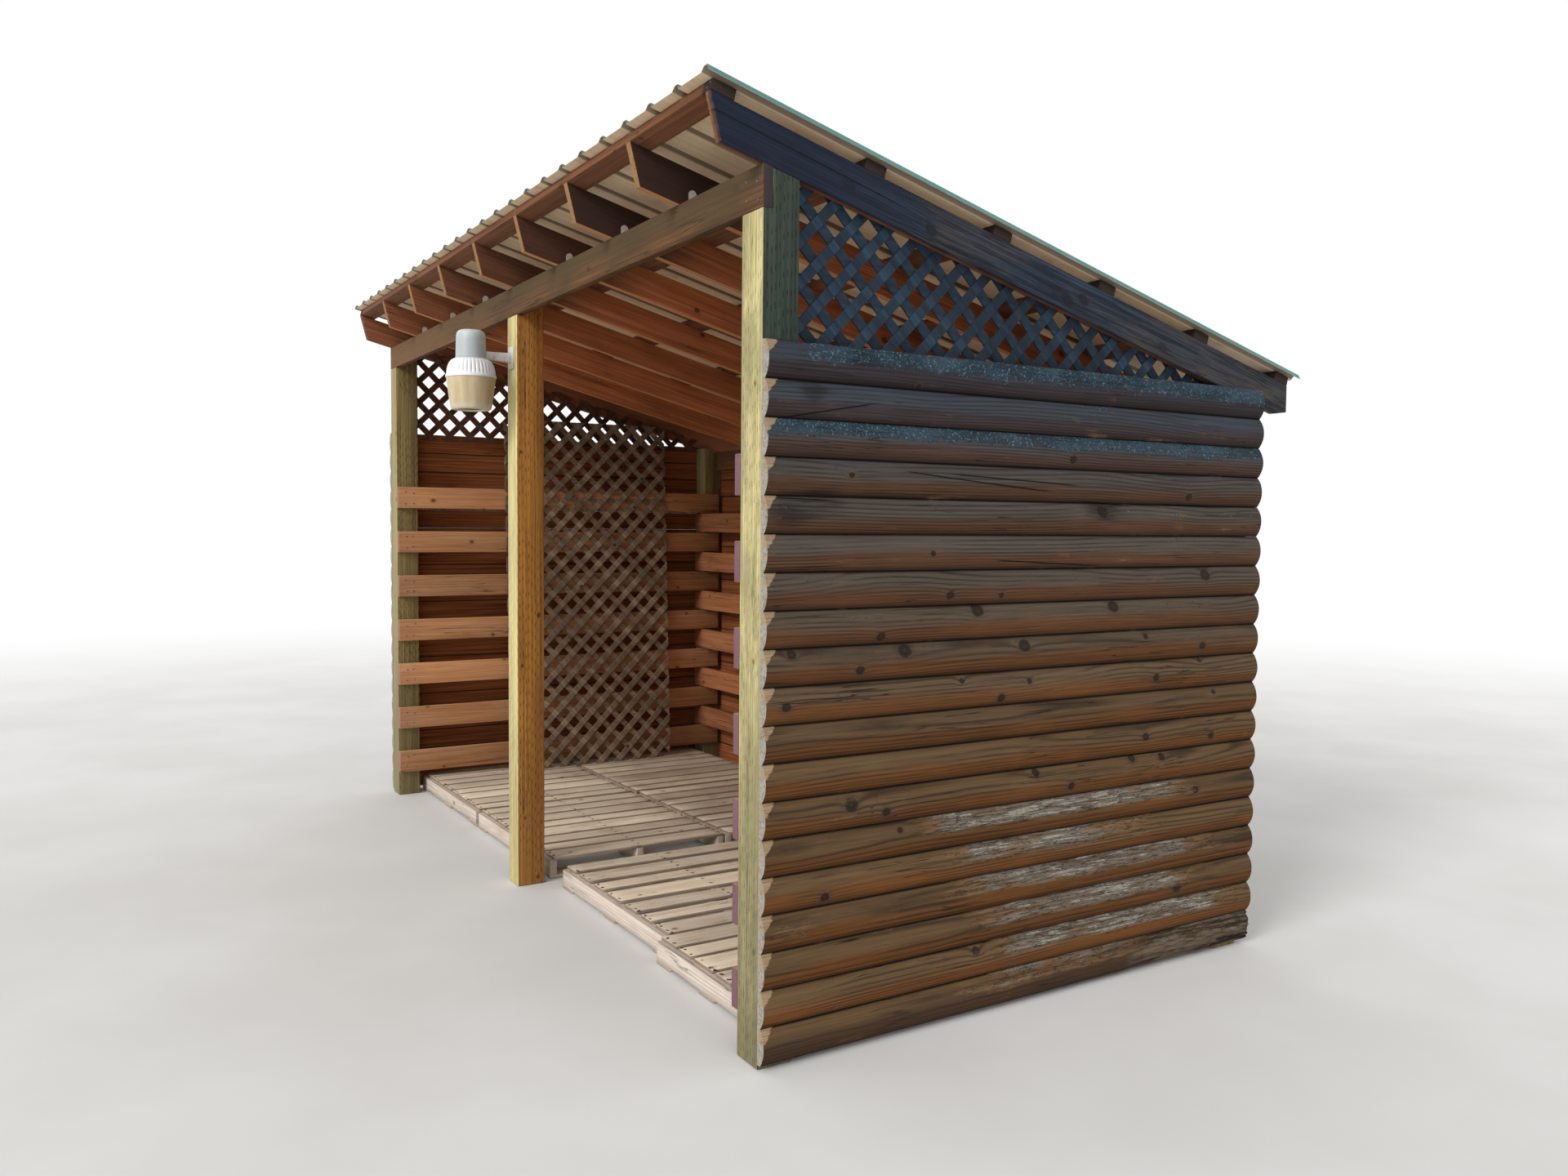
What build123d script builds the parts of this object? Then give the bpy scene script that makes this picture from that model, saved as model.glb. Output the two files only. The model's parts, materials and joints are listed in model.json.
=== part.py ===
from build123d import *
from math import atan, cos, pi, sin, sqrt
import os

# A lean-to woodshed with two open bays: six posts, half-log walls on three sides,
# a ribbed metal roof on rafters and purlins, lattice in the gables, a pallet floor
# and a yard lamp on the middle post.
# Millimetres. X runs along the open front, Y from the front to the back, Z up.
# Every piece is drawn with y = 0 on the front faces of the posts and is moved at the
# end so that the origin lies under the middle of the whole.

# Plan and posts
shed_width = 4877          # outer face to outer face of the corner posts
shed_depth = 2438          # front faces to back faces of the posts
post_size = 140
front_height = 2985        # underside of the rafters above the front faces
roof_pitch = 0.25          # fall for each millimetre of run

# Framing timber
beam_thickness = 38
beam_depth = 140
rafter_count = 9
rafter_thickness = 38
rafter_depth = 140
front_overhang = 195       # top corner of the rafter ends beyond the front posts
front_undercut = 40        # how far the lower corner is cut back
back_overhang = 252        # rafter ends beyond the back posts
tail_clip_run = 70         # lower corner sawn off the back ends
tail_clip_rise = 26
purlin_count = 6
purlin_width = 89
purlin_thickness = 38
purlin_shifts = (0, 33, 50, 34, 28, 0)   # off the even spacing, as laid

# Roof sheet
sheet_thickness = 2
sheet_side_overhang = 30
sheet_front_overhang = 36
sheet_back_overhang = 40
rib_count = 25
rib_height = 19
rib_base = 46
rib_top = 22

# Half-log siding
log_crown = 46             # thickness at the middle of a log
log_edge = 20              # thickness at the joints
course_pitch = 126.4
course_gap = 0.4
log_clearance = 20         # lowest course above the ground

# Boards inside the walls
board_thickness = 38
board_height = 140
board_top = 2059
board_pitch = 293.5
side_board_count = 7
back_board_count = 6
side_board_stop = 38       # side boards end short of the outside of the back posts
back_board_lap = 80

# Lattice
lath_width = 38
lath_thickness = 8
lath_pitch = 99            # across the laths, centre to centre
shortest_lath = 50         # shorter scraps at the corners are left off
gable_lattice_foot = 36    # below the top of the side walls
gable_lattice_lap = 60     # up the inner face of the gable rafter
panel_width = 1220
panel_height = 2438
panel_front = 720          # front edge behind the front posts
panel_board_inset = 88     # its foot stands on the second deck board, this far in

# Pallets, two in each bay and a second row behind them
pallet_front = 186         # behind the front faces of the posts
loose_pallet_front = 140   # the right-hand one has slipped forward
pallet_row_gap = 12
pallet_back_gap = 68       # second row to the inner faces of the back posts
pallet_margin = 30         # from the left wall
pallet_gap = 50            # between the two in the left bay
pallet_overrun = 21        # the second one reaches past the middle of the shed
pallet_bay_gap = 179       # to the first one in the right bay
third_pallet_width = 1150
third_pallet_gap = 26
pallet_end_margin = 192    # from the right wall
deck_board = 16
deck_widths = (129, 112, 113, 133, 102, 150, 119, 97)
deck_gap = 42              # about this much between deck boards
base_board_width = 118
stringer_height = 77.4
stringer_thickness = 38
lead_setback = 22          # deck ends behind the face of the front stringer
nailed_gap = 0.3           # boards and stringers stay apart by this much

# Yard lamp
lamp_reach = 206           # lamp axis in front of the post
lamp_drop = 615            # lower rim of the lens below the rafters on the posts
cap_height = 140
cap_radius = 72
cap_lip = 3
cap_lip_height = 7
cap_crown_radius = 66      # where the rounded top begins
cap_crown_height = 16
flute_count = 36
flute_share = 0.03         # grooves between the flutes, as a share of the radius there
skirt_height = 92
skirt_radius = 121
skirt_rim_height = 14
skirt_rim_step = 4         # ledge on top of the rim, round the dome
skirt_rim_lining = 4       # thickness of the rim above the lens
dome_top_radius = 76
dome_rings = 4
skirt_wall = 3
lens_height = 155          # below the skirt
lens_shoulder_radius = 102
lens_shoulder_height = 30
lens_foot_radius = 87
lens_mouth_radius = 62
lens_wall = 4
lens_seat = 0.3            # lens to the inside of the skirt
arm_width = 38
arm_height = 42
arm_drop = 118             # arm axis below the top of the cap
plate_width = 70
plate_height = 110
plate_thickness = 8

# Rafter ties
tie_thickness = 2
tie_width = 32
tie_rise = 70
tie_drop = 60
tie_clearance = 1          # front leaf below the rafter

# Values worked out from the ones above
slope = atan(roof_pitch)
half_width = shed_width / 2
rafter_height = rafter_depth / cos(slope)
rafter_spacing = (shed_width - rafter_thickness) / (rafter_count - 1)
back_courses = int((front_height - roof_pitch * shed_depth - log_clearance) / course_pitch)
side_courses = back_courses + 1
side_wall_top = log_clearance + side_courses * course_pitch
back_end = shed_depth + back_overhang
sheet_front = -front_overhang - sheet_front_overhang * cos(slope)
sheet_back = back_end + sheet_back_overhang * cos(slope)
front_limit = min(sheet_front, -lamp_reach - skirt_radius)
sheet_corner_back = sheet_back + (purlin_thickness + sheet_thickness + rib_height) * sin(slope)
middle_y = (front_limit + sheet_corner_back) / 2
lamp_foot = front_height - lamp_drop
lens_top_radius = skirt_radius - skirt_wall - lens_seat
stringer_foot = deck_board + nailed_gap
deck_foot = stringer_foot + stringer_height + nailed_gap
pallet_height = deck_foot + deck_board
pallet_depth = (shed_depth - post_size - pallet_front - pallet_row_gap - pallet_back_gap) / 2
left_pallet_width = (half_width + pallet_overrun - pallet_margin - pallet_gap) / 2
third_pallet_start = pallet_overrun + pallet_bay_gap
fourth_pallet_start = third_pallet_start + third_pallet_width + third_pallet_gap
pallet_spans = (
    (-half_width + pallet_margin, left_pallet_width),
    (pallet_overrun - left_pallet_width, left_pallet_width),
    (third_pallet_start, third_pallet_width),
    (fourth_pallet_start, half_width - pallet_end_margin - fourth_pallet_start),
)


def underside(y):
    return front_height - roof_pitch * y


def block(x0, x1, y0, y1, z0, z1):
    return Pos((x0 + x1) / 2, (y0 + y1) / 2, (z0 + z1) / 2) * Box(x1 - x0, y1 - y0, z1 - z0)


def side_profile(points, x0, x1):
    """A plate with this outline seen from the right, between two planes of X."""
    face = make_face(Plane.YZ * Polyline(*points, close=True))
    return Pos(x0, 0, 0) * extrude(face, amount=x1 - x0, dir=(1, 0, 0))


# Posts, each cut to the slope and rebated for its beam
def post(x0, y0, beam_at_front):
    y1 = y0 + post_size
    if beam_at_front:
        seat = y0 + beam_thickness
        shelf = underside(y0) - beam_depth
        outline = [(y0, 0), (y1, 0), (y1, underside(y1)), (seat, underside(seat)),
                   (seat, shelf), (y0, shelf)]
    else:
        seat = y1 - beam_thickness
        shelf = underside(seat) - beam_depth
        outline = [(y0, 0), (y1, 0), (y1, shelf), (seat, shelf), (seat, underside(seat)),
                   (y0, underside(y0))]
    return side_profile(outline, x0, x0 + post_size)


def beam(y0, shelf):
    y1 = y0 + beam_thickness
    outline = [(y0, shelf), (y1, shelf), (y1, underside(y1)), (y0, underside(y0))]
    return side_profile(outline, -half_width, half_width)


def rafter(x0):
    top_front = (-front_overhang, underside(-front_overhang) + rafter_height)
    foot_front = (-front_overhang + front_undercut, underside(-front_overhang + front_undercut))
    foot_back = (back_end - tail_clip_run, underside(back_end - tail_clip_run))
    clip_back = (back_end, underside(back_end) + tail_clip_rise)
    top_back = (back_end, underside(back_end) + rafter_height)
    return side_profile([foot_front, foot_back, clip_back, top_back, top_front], x0, x0 + rafter_thickness)


# A plane on top of the rafters: its X is along the shed, its Y runs down the slope
roof_plane = Plane(
    origin=(0, 0, front_height + rafter_height),
    x_dir=(1, 0, 0),
    z_dir=(0, sin(slope), cos(slope)),
)
first_purlin = -front_overhang / cos(slope)
last_purlin = back_end / cos(slope) - purlin_width


def purlin(number):
    step = (last_purlin - first_purlin) / (purlin_count - 1)
    start = first_purlin + number * step + purlin_shifts[number]
    bar = block(-half_width, half_width, start, start + purlin_width, 0, purlin_thickness)
    return roof_plane.location * bar


def roof_sheet():
    edge = half_width + sheet_side_overhang
    pitch = (2 * edge - rib_base) / (rib_count - 1)
    shoulder = (rib_base - rib_top) / 2
    lower = []
    for i in range(rib_count):
        x = -edge + i * pitch
        lower += [(x, 0), (x + shoulder, rib_height),
                  (x + shoulder + rib_top, rib_height), (x + rib_base, 0)]
    upper = [(x, z + sheet_thickness) for x, z in reversed(lower)]
    face = make_face(Plane.XZ * Polyline(*(lower + upper), close=True))
    run = (sheet_back - sheet_front) / cos(slope)
    ribbed = extrude(face, amount=run, dir=(0, 1, 0))
    return roof_plane.location * Pos(0, sheet_front / cos(slope), purlin_thickness) * ribbed


# Half logs: flat inside, rounded outside, with a shallow step at each joint
def half_log(length):
    height = course_pitch - course_gap
    outline = (
        Polyline((log_edge, 0), (0, 0), (0, height), (log_edge, height))
        + ThreePointArc((log_edge, height), (log_crown, height / 2), (log_edge, 0))
    )
    return extrude(make_face(Plane.XZ * outline), amount=length, dir=(0, 1, 0))


def log_wall(length, courses):
    log = half_log(length)
    return [Pos(0, 0, log_clearance + i * course_pitch) * log for i in range(courses)]


side_log_length = shed_depth + log_crown
right_wall = [Pos(half_width, 0, 0) * log for log in log_wall(side_log_length, side_courses)]
left_wall = [mirror(log, about=Plane.YZ) for log in right_wall]
back_turn = Pos(half_width, shed_depth, 0) * Rot(0, 0, 90)
back_wall = [back_turn * log for log in log_wall(shed_width, back_courses)]


# Boards nailed inside the posts; the back ones fill the heights between the side ones
def side_boards():
    inner = half_width - post_size
    tops = [board_top - i * board_pitch for i in range(side_board_count)]
    return [block(inner - board_thickness, inner, 0, shed_depth - side_board_stop, top - board_height, top)
            for top in tops]


def back_boards():
    reach = half_width - post_size + back_board_lap
    face = shed_depth - post_size
    tops = [board_top - (i + 0.5) * board_pitch for i in range(back_board_count)]
    return [block(-reach, reach, face - board_thickness, face, top - board_height, top) for top in tops]


# Lattice: two layers of laths at right angles, lying on each other and fused where they cross
def lattice(outline):
    """A lattice with this outline, drawn in XY, its first layer on z = 0."""
    region = make_face(Polyline(*outline, close=True))
    box = region.bounding_box()
    reach = box.size.X + box.size.Y
    count = int(reach / lath_pitch) + 2
    middle = box.center()
    laths = []
    for level, angle in enumerate((-45, 45)):
        turn = Pos(middle.X, middle.Y, 0) * Rot(0, 0, angle)
        for i in range(-count, count + 1):
            strip = turn * Pos(0, i * lath_pitch) * Rectangle(2 * reach, lath_width)
            for face in (strip & region).faces():
                if face.area > shortest_lath * lath_width:
                    lath = extrude(face, amount=lath_thickness, dir=(0, 0, 1))
                    laths.append(Pos(0, 0, level * lath_thickness) * lath)
    joined = laths[0].fuse(*laths[1:])
    return max(joined.solids(), key=lambda solid: solid.volume)   # corner scraps left off


def gable_lattice():
    y0 = post_size
    y1 = shed_depth - post_size
    foot = side_wall_top - gable_lattice_foot
    outline = [(y0, foot), (y1, foot), (y1, underside(y1) + gable_lattice_lap),
               (y0, underside(y0) + gable_lattice_lap)]
    flat = lattice(outline)
    upright = Plane(origin=(half_width - rafter_thickness, 0, 0), x_dir=(0, 1, 0), z_dir=(1, 0, 0))
    return upright.location * Pos(0, 0, -2 * lath_thickness) * flat


def deck_layout(width, turn):
    """Start and width of each deck board across a pallet this wide."""
    mean_width = sum(deck_widths) / len(deck_widths)
    count = round((width + deck_gap) / (mean_width + deck_gap))
    widths = [deck_widths[(i + turn) % len(deck_widths)] for i in range(count)]
    gap = (width - sum(widths)) / (count - 1)
    return [(sum(widths[:i]) + i * gap, widths[i]) for i in range(count)]


def leaning_panel():
    outline = [(0, 0), (panel_width, 0), (panel_width, panel_height), (0, panel_height)]
    flat = lattice(outline)
    wall = -half_width + post_size + board_thickness
    pallet_start, width = pallet_spans[0]
    board_start = deck_layout(width, 0)[1][0]
    foot_x = pallet_start + board_start + panel_board_inset
    lean = atan((foot_x - wall) / (board_top - pallet_height))
    foot = Plane(
        origin=(foot_x, panel_front, pallet_height),
        x_dir=(0, 1, 0),
        z_dir=(cos(lean), 0, sin(lean)),
    )
    return foot.location * flat


# Pallets: three boards under three stringers, and deck boards running back on top
def pallet(x0, width, front, turn):
    back = front + pallet_depth
    pieces = []
    for start, board_width in deck_layout(width, turn):
        x = x0 + start
        deck_front = front + lead_setback
        pieces.append(block(x, x + board_width, deck_front, back, deck_foot, pallet_height))
    for i in range(3):
        y = front + i * (pallet_depth - stringer_thickness) / 2
        pieces.append(block(x0, x0 + width, y, y + stringer_thickness, stringer_foot, deck_foot - nailed_gap))
    for i in range(3):
        x = x0 + i * (width - base_board_width) / 2
        pieces.append(block(x, x + base_board_width, front, back, 0, deck_board))
    return pieces


# Yard lamp on its arm, on the middle post; its round pieces are many-sided, with flat panels
def lamp_ring(corners, z, radius, groove=0):
    """Corners of a level ring; every other one is set in by the groove's share of the radius."""
    ring = []
    for i in range(corners):
        r = radius * (1 - groove * (i % 2))
        ring.append((r * cos(2 * pi * i / corners), r * sin(2 * pi * i / corners), z))
    return ring


def lamp_body(rings, corners=flute_count):
    """A closed solid of flat panels between these rings, from the lowest to the highest."""
    rings = [lamp_ring(corners, *ring) for ring in rings]
    panels = [rings[0], rings[-1]]
    for lower, upper in zip(rings, rings[1:]):
        panels += [(lower[i - 1], lower[i], upper[i], upper[i - 1]) for i in range(corners)]
    return Solid(Shell([make_face(Polyline(*panel, close=True)) for panel in panels]))


def dome_radius(share):
    """Radius of the dome at this share of its height, a quarter of an ellipse."""
    widest = skirt_radius - skirt_rim_step
    return dome_top_radius + (widest - dome_top_radius) * sqrt(1 - share * share)


def lamp():
    skirt_foot = lamp_foot + lens_height
    skirt_top = skirt_foot + skirt_height
    cap_top = skirt_top + cap_height
    arm_z = cap_top - arm_drop
    cap_shoulder = cap_top - cap_crown_height
    lip_top = skirt_top + cap_lip_height
    cap = lamp_body([(skirt_top, cap_radius + cap_lip), (lip_top, cap_radius + cap_lip),
                     (lip_top + cap_lip, cap_radius), (cap_shoulder, cap_crown_radius),
                     (cap_top, cap_crown_radius - cap_crown_height)])
    plate = block(-plate_width / 2, plate_width / 2, -plate_thickness, 0,
                  arm_z - plate_height / 2, arm_z + plate_height / 2)
    bar = block(-arm_width / 2, arm_width / 2, -lamp_reach, -plate_thickness,
                arm_z - arm_height / 2, arm_z + arm_height / 2)

    dome_foot = skirt_foot + skirt_rim_height
    shelf = dome_foot - skirt_rim_lining
    dome_height = skirt_top - dome_foot
    lining = skirt_wall + flute_share * skirt_radius
    dome = []
    hollow = [(shelf, dome_radius(0) - lining)]
    for i in range(dome_rings + 1):
        share = i / dome_rings
        dome.append((dome_foot + share * dome_height, dome_radius(share), flute_share))
        hollow.append((dome_foot + share * (dome_height - skirt_wall), dome_radius(share) - lining))
    rim = lamp_body([(skirt_foot, skirt_radius), (dome_foot, skirt_radius)], 2 * flute_count)
    rim_hollow = lamp_body([(skirt_foot, skirt_radius - skirt_wall), (shelf, skirt_radius - skirt_wall)])
    skirt = rim + lamp_body(dome, 2 * flute_count) - lamp_body(hollow) - rim_hollow

    shoulder = lamp_foot + lens_shoulder_height
    lens_floor = lamp_foot + lens_wall
    outer = [(lamp_foot, lens_foot_radius), (shoulder, lens_shoulder_radius), (shelf, lens_top_radius)]
    inner = [(lens_floor, lens_foot_radius - lens_wall), (shoulder, lens_shoulder_radius - lens_wall),
             (shelf, lens_top_radius - lens_wall)]
    mouth = [(lamp_foot, lens_mouth_radius), (lens_floor, lens_mouth_radius)]
    lens = lamp_body(outer) - lamp_body(inner) - lamp_body(mouth)

    axis = Pos(0, -lamp_reach, 0)
    housing = axis * cap
    return (plate + bar) - housing, housing, axis * skirt, axis * lens


# Steel ties between the front beam and the rafters that stand clear of the posts
def rafter_ties():
    ties = []
    for i in range(1, rafter_count - 1):
        if i == (rafter_count - 1) // 2:
            continue
        x = half_width - i * rafter_spacing
        y = beam_thickness
        z = underside(y)
        leaf = block(x, x + tie_thickness, y, y + tie_width, z - tie_drop, z + tie_rise)
        foot = block(x, x + tie_width, y, y + tie_thickness, z - tie_drop, z - tie_clearance)
        ties.append(leaf + foot)
    return ties


nodes = {}
right_post = half_width - post_size
for side, x in (("left", -half_width), ("middle", -post_size / 2), ("right", right_post)):
    nodes[f"front_post_{side}"] = [post(x, 0, True)]
    nodes[f"back_post_{side}"] = [post(x, shed_depth - post_size, False)]
nodes["front_beam"] = [beam(0, underside(0) - beam_depth)]
back_seat = shed_depth - beam_thickness
nodes["back_beam"] = [beam(back_seat, underside(back_seat) - beam_depth)]
for i in range(rafter_count):
    nodes[f"rafter_{i + 1}"] = [rafter(half_width - rafter_thickness - i * rafter_spacing)]
for i in range(purlin_count):
    nodes[f"purlin_{i + 1}"] = [purlin(i)]
nodes["roof_sheet"] = [roof_sheet()]
nodes["right_wall_logs"] = right_wall
nodes["left_wall_logs"] = left_wall
nodes["back_wall_logs"] = back_wall
right_lattice = gable_lattice()
nodes["right_gable_lattice"] = [right_lattice]
nodes["left_gable_lattice"] = [mirror(right_lattice, about=Plane.YZ)]
nodes["right_inner_boards"] = side_boards()
nodes["left_inner_boards"] = [mirror(board, about=Plane.YZ) for board in side_boards()]
nodes["back_inner_boards"] = back_boards()
nodes["lattice_panel"] = [leaning_panel()]
second_row = pallet_front + pallet_depth + pallet_row_gap
nodes["back_pallets"] = []
for i, (x, width) in enumerate(pallet_spans):
    last = i == len(pallet_spans) - 1
    nodes[f"front_pallet_{i + 1}"] = pallet(x, width, loose_pallet_front if last else pallet_front, i)
    nodes["back_pallets"] += pallet(x, width, second_row, 2 * i)
lamp_parts = lamp()
for name, piece in zip(("lamp_arm", "lamp_cap", "lamp_skirt", "lamp_lens"), lamp_parts):
    nodes[name] = [piece]
nodes["rafter_ties"] = rafter_ties()

os.makedirs("parts", exist_ok=True)
for name, pieces in nodes.items():
    solids = [solid for piece in pieces for solid in piece.solids()]
    shape = solids[0] if len(solids) == 1 else Compound(children=solids)
    export_step(Pos(0, -middle_y, 0) * shape, f"parts/{name}.step")
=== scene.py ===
import json
import math
import random
from types import SimpleNamespace

import bpy
from mathutils import Matrix, Vector, noise

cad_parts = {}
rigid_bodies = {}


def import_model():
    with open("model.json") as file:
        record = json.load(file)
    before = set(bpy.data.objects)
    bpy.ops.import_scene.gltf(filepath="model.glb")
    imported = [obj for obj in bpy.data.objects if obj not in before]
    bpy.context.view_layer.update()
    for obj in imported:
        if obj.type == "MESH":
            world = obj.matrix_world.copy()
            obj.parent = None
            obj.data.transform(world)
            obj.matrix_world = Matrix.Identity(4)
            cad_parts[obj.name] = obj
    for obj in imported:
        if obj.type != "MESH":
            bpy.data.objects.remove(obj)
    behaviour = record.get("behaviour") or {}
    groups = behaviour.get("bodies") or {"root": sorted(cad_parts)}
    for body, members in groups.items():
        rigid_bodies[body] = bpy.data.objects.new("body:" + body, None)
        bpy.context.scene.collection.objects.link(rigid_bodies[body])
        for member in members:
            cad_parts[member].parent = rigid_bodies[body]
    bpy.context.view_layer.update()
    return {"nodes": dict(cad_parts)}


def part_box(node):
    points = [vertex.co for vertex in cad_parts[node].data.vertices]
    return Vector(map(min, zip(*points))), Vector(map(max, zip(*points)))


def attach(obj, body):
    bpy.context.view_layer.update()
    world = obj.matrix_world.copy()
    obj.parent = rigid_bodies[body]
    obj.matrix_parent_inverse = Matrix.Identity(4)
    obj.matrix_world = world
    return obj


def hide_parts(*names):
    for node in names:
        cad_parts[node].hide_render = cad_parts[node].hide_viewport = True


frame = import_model()
nodes = frame["nodes"]
random.seed(11)

# where the shed stands, read from the frame
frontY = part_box("front_beam")[0].y
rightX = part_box("front_post_right")[1].x
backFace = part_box("back_post_right")[1].y
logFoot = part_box("right_wall_logs")[0].z
logPitch = 0.1264
# the roof falls one in four from the underside of the rafters above the post faces
roofFall = 0.25
roofFront = 2.985


def report(stage):
    print("woodshed:", stage, flush=True)


def clamp(value, low=0.0, high=1.0):
    return max(low, min(high, value))


def rampUp(value, low, high):
    return clamp((value - low) / (high - low))


def pickOnly(*pieces):
    # leaves just these selected, with the first one active
    for other in bpy.context.view_layer.objects:
        other.select_set(False)
    for piece in pieces:
        piece.select_set(True)
    bpy.context.view_layer.objects.active = pieces[0]


def setMode(name):
    bpy.ops.object.mode_set(mode=name)


def addObject(name, data):
    made = bpy.data.objects.new(name, data)
    bpy.context.scene.collection.objects.link(made)
    return made


def startFrom(shape, name, **settings):
    # a primitive at its size and place, with both kept in its mesh
    bpy.ops.object.select_all(action="DESELECT")
    getattr(bpy.ops.mesh, "primitive_%s_add" % shape)(**settings)
    bpy.ops.object.transform_apply()
    piece = bpy.context.object
    piece.name = name
    return piece


def joinAs(name, pieces):
    pickOnly(*pieces)
    bpy.ops.object.join()
    joined = bpy.context.object
    joined.name = name
    return joined


def pickFaces(piece, wanted):
    # goes into edit mode with just these faces selected
    setMode("EDIT")
    bpy.ops.mesh.select_mode(type="FACE")
    bpy.ops.mesh.select_all(action="DESELECT")
    setMode("OBJECT")
    for face in piece.data.polygons:
        face.select = wanted(face)
    setMode("EDIT")


def pointOutwards():
    bpy.ops.mesh.select_all(action="SELECT")
    bpy.ops.mesh.normals_make_consistent(inside=False)
    setMode("OBJECT")


def workCopy(node, name):
    # a merged copy of a CAD node's mesh, ready for shaping
    piece = addObject(name, nodes[node].data.copy())
    piece.data.materials.clear()
    pickOnly(piece)
    setMode("EDIT")
    bpy.ops.mesh.select_all(action="SELECT")
    bpy.ops.mesh.remove_doubles(threshold=0.00002)
    bpy.ops.mesh.customdata_custom_splitnormals_clear()
    bpy.ops.mesh.dissolve_limited(angle_limit=math.radians(0.3))
    setMode("OBJECT")
    numberBoards(piece)
    return piece


def writeValues(piece, name, values):
    piece.data.attributes.new(name, "FLOAT", "POINT").data.foreach_set("value", values)


def readValues(piece, name):
    return [item.value for item in piece.data.attributes[name].data]


def numberBoards(piece):
    # gives each loose board in a mesh its own number, for the grain to start anew
    mesh = piece.data
    leader = list(range(len(mesh.vertices)))

    def top(i):
        while leader[i] != i:
            leader[i] = leader[leader[i]]
            i = leader[i]
        return i

    for edge in mesh.edges:
        a, b = top(edge.vertices[0]), top(edge.vertices[1])
        leader[max(a, b)] = min(a, b)
    order = {}
    start = sum(map(ord, piece.name)) % 97
    writeValues(piece, "board", [float(order.setdefault(top(i), len(order) + start)) for i in range(len(leader))])


def cutEdges(piece, count, wanted):
    # subdivides the edges that are wanted, all at once
    mesh = piece.data
    mesh.polygons.foreach_set("select", [False] * len(mesh.polygons))
    mesh.vertices.foreach_set("select", [False] * len(mesh.vertices))
    for edge in mesh.edges:
        edge.select = wanted(*(mesh.vertices[i].co for i in edge.vertices))
    pickOnly(piece)
    bpy.context.tool_settings.mesh_select_mode = (False, True, False)
    setMode("EDIT")
    bpy.ops.mesh.subdivide(number_cuts=count)
    setMode("OBJECT")


def cutAcross(piece, axis, count, shortest=0.3):
    # cuts the long edges that run along an axis
    place = "XYZ".index(axis)
    cutEdges(piece, count, lambda a, b: (b - a).length > shortest
             and abs(b[place] - a[place]) > 0.995 * (b - a).length)


def useModifier(piece, kind, **settings):
    pickOnly(piece)
    modifier = piece.modifiers.new(kind.lower(), kind)
    for key, value in settings.items():
        setattr(modifier, key, value)
    bpy.ops.object.modifier_apply(modifier=modifier.name)


def roundEdges(piece, width):
    useModifier(piece, "BEVEL", width=width, segments=2, limit_method="ANGLE",
                angle_limit=math.radians(40), use_clamp_overlap=True)


def smoothSides(piece, degrees=35):
    pickOnly(piece)
    bpy.ops.object.shade_smooth_by_angle(angle=math.radians(degrees))


def finishPiece(piece, slot, paint, *standsFor):
    piece.data.materials.clear()
    piece.data.materials.append(paint)
    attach(piece, "root")
    if standsFor:
        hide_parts(*standsFor)


def dressTimber(node, slot, paint, width=0.003):
    # a node's own timber with its edges rounded
    piece = workCopy(node, node.replace("_boards", "") + "_timber")
    roundEdges(piece, width)
    smoothSides(piece)
    finishPiece(piece, slot, paint, node)


# shader maths
class Wire:
    def __init__(self, paint, socket):
        self.paint = paint
        self.socket = socket

    def maths(self, operation, *values):
        return self.paint.add("ShaderNodeMath", {"operation": operation}, dict(enumerate(values)))

    def __add__(self, other):
        return self.maths("ADD", self, other)

    def __radd__(self, other):
        return self.maths("ADD", other, self)

    def __sub__(self, other):
        return self.maths("SUBTRACT", self, other)

    def __rsub__(self, other):
        return self.maths("SUBTRACT", other, self)

    def __mul__(self, other):
        return self.maths("MULTIPLY", self, other)

    def __rmul__(self, other):
        return self.maths("MULTIPLY", other, self)

    def __truediv__(self, other):
        return self.maths("DIVIDE", self, other)

    def __rtruediv__(self, other):
        return self.maths("DIVIDE", other, self)

    def floor(self):
        return self.maths("FLOOR", self)

    def part(self):
        return self.maths("FRACT", self)

    def wave(self):
        return self.maths("SINE", self)

    def size(self):
        return self.maths("ABSOLUTE", self)

    def most(self, other):
        return self.maths("MAXIMUM", self, other)

    def step(self, low, high):
        # 0 at low, 1 at high, with a soft shoulder at both
        if low > high:
            return 1 - self.step(high, low)
        settings = {"interpolation_type": "SMOOTHSTEP"}
        return self.paint.add("ShaderNodeMapRange", settings, {0: self, 1: low, 2: high, 3: 0.0, 4: 1.0})


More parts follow.
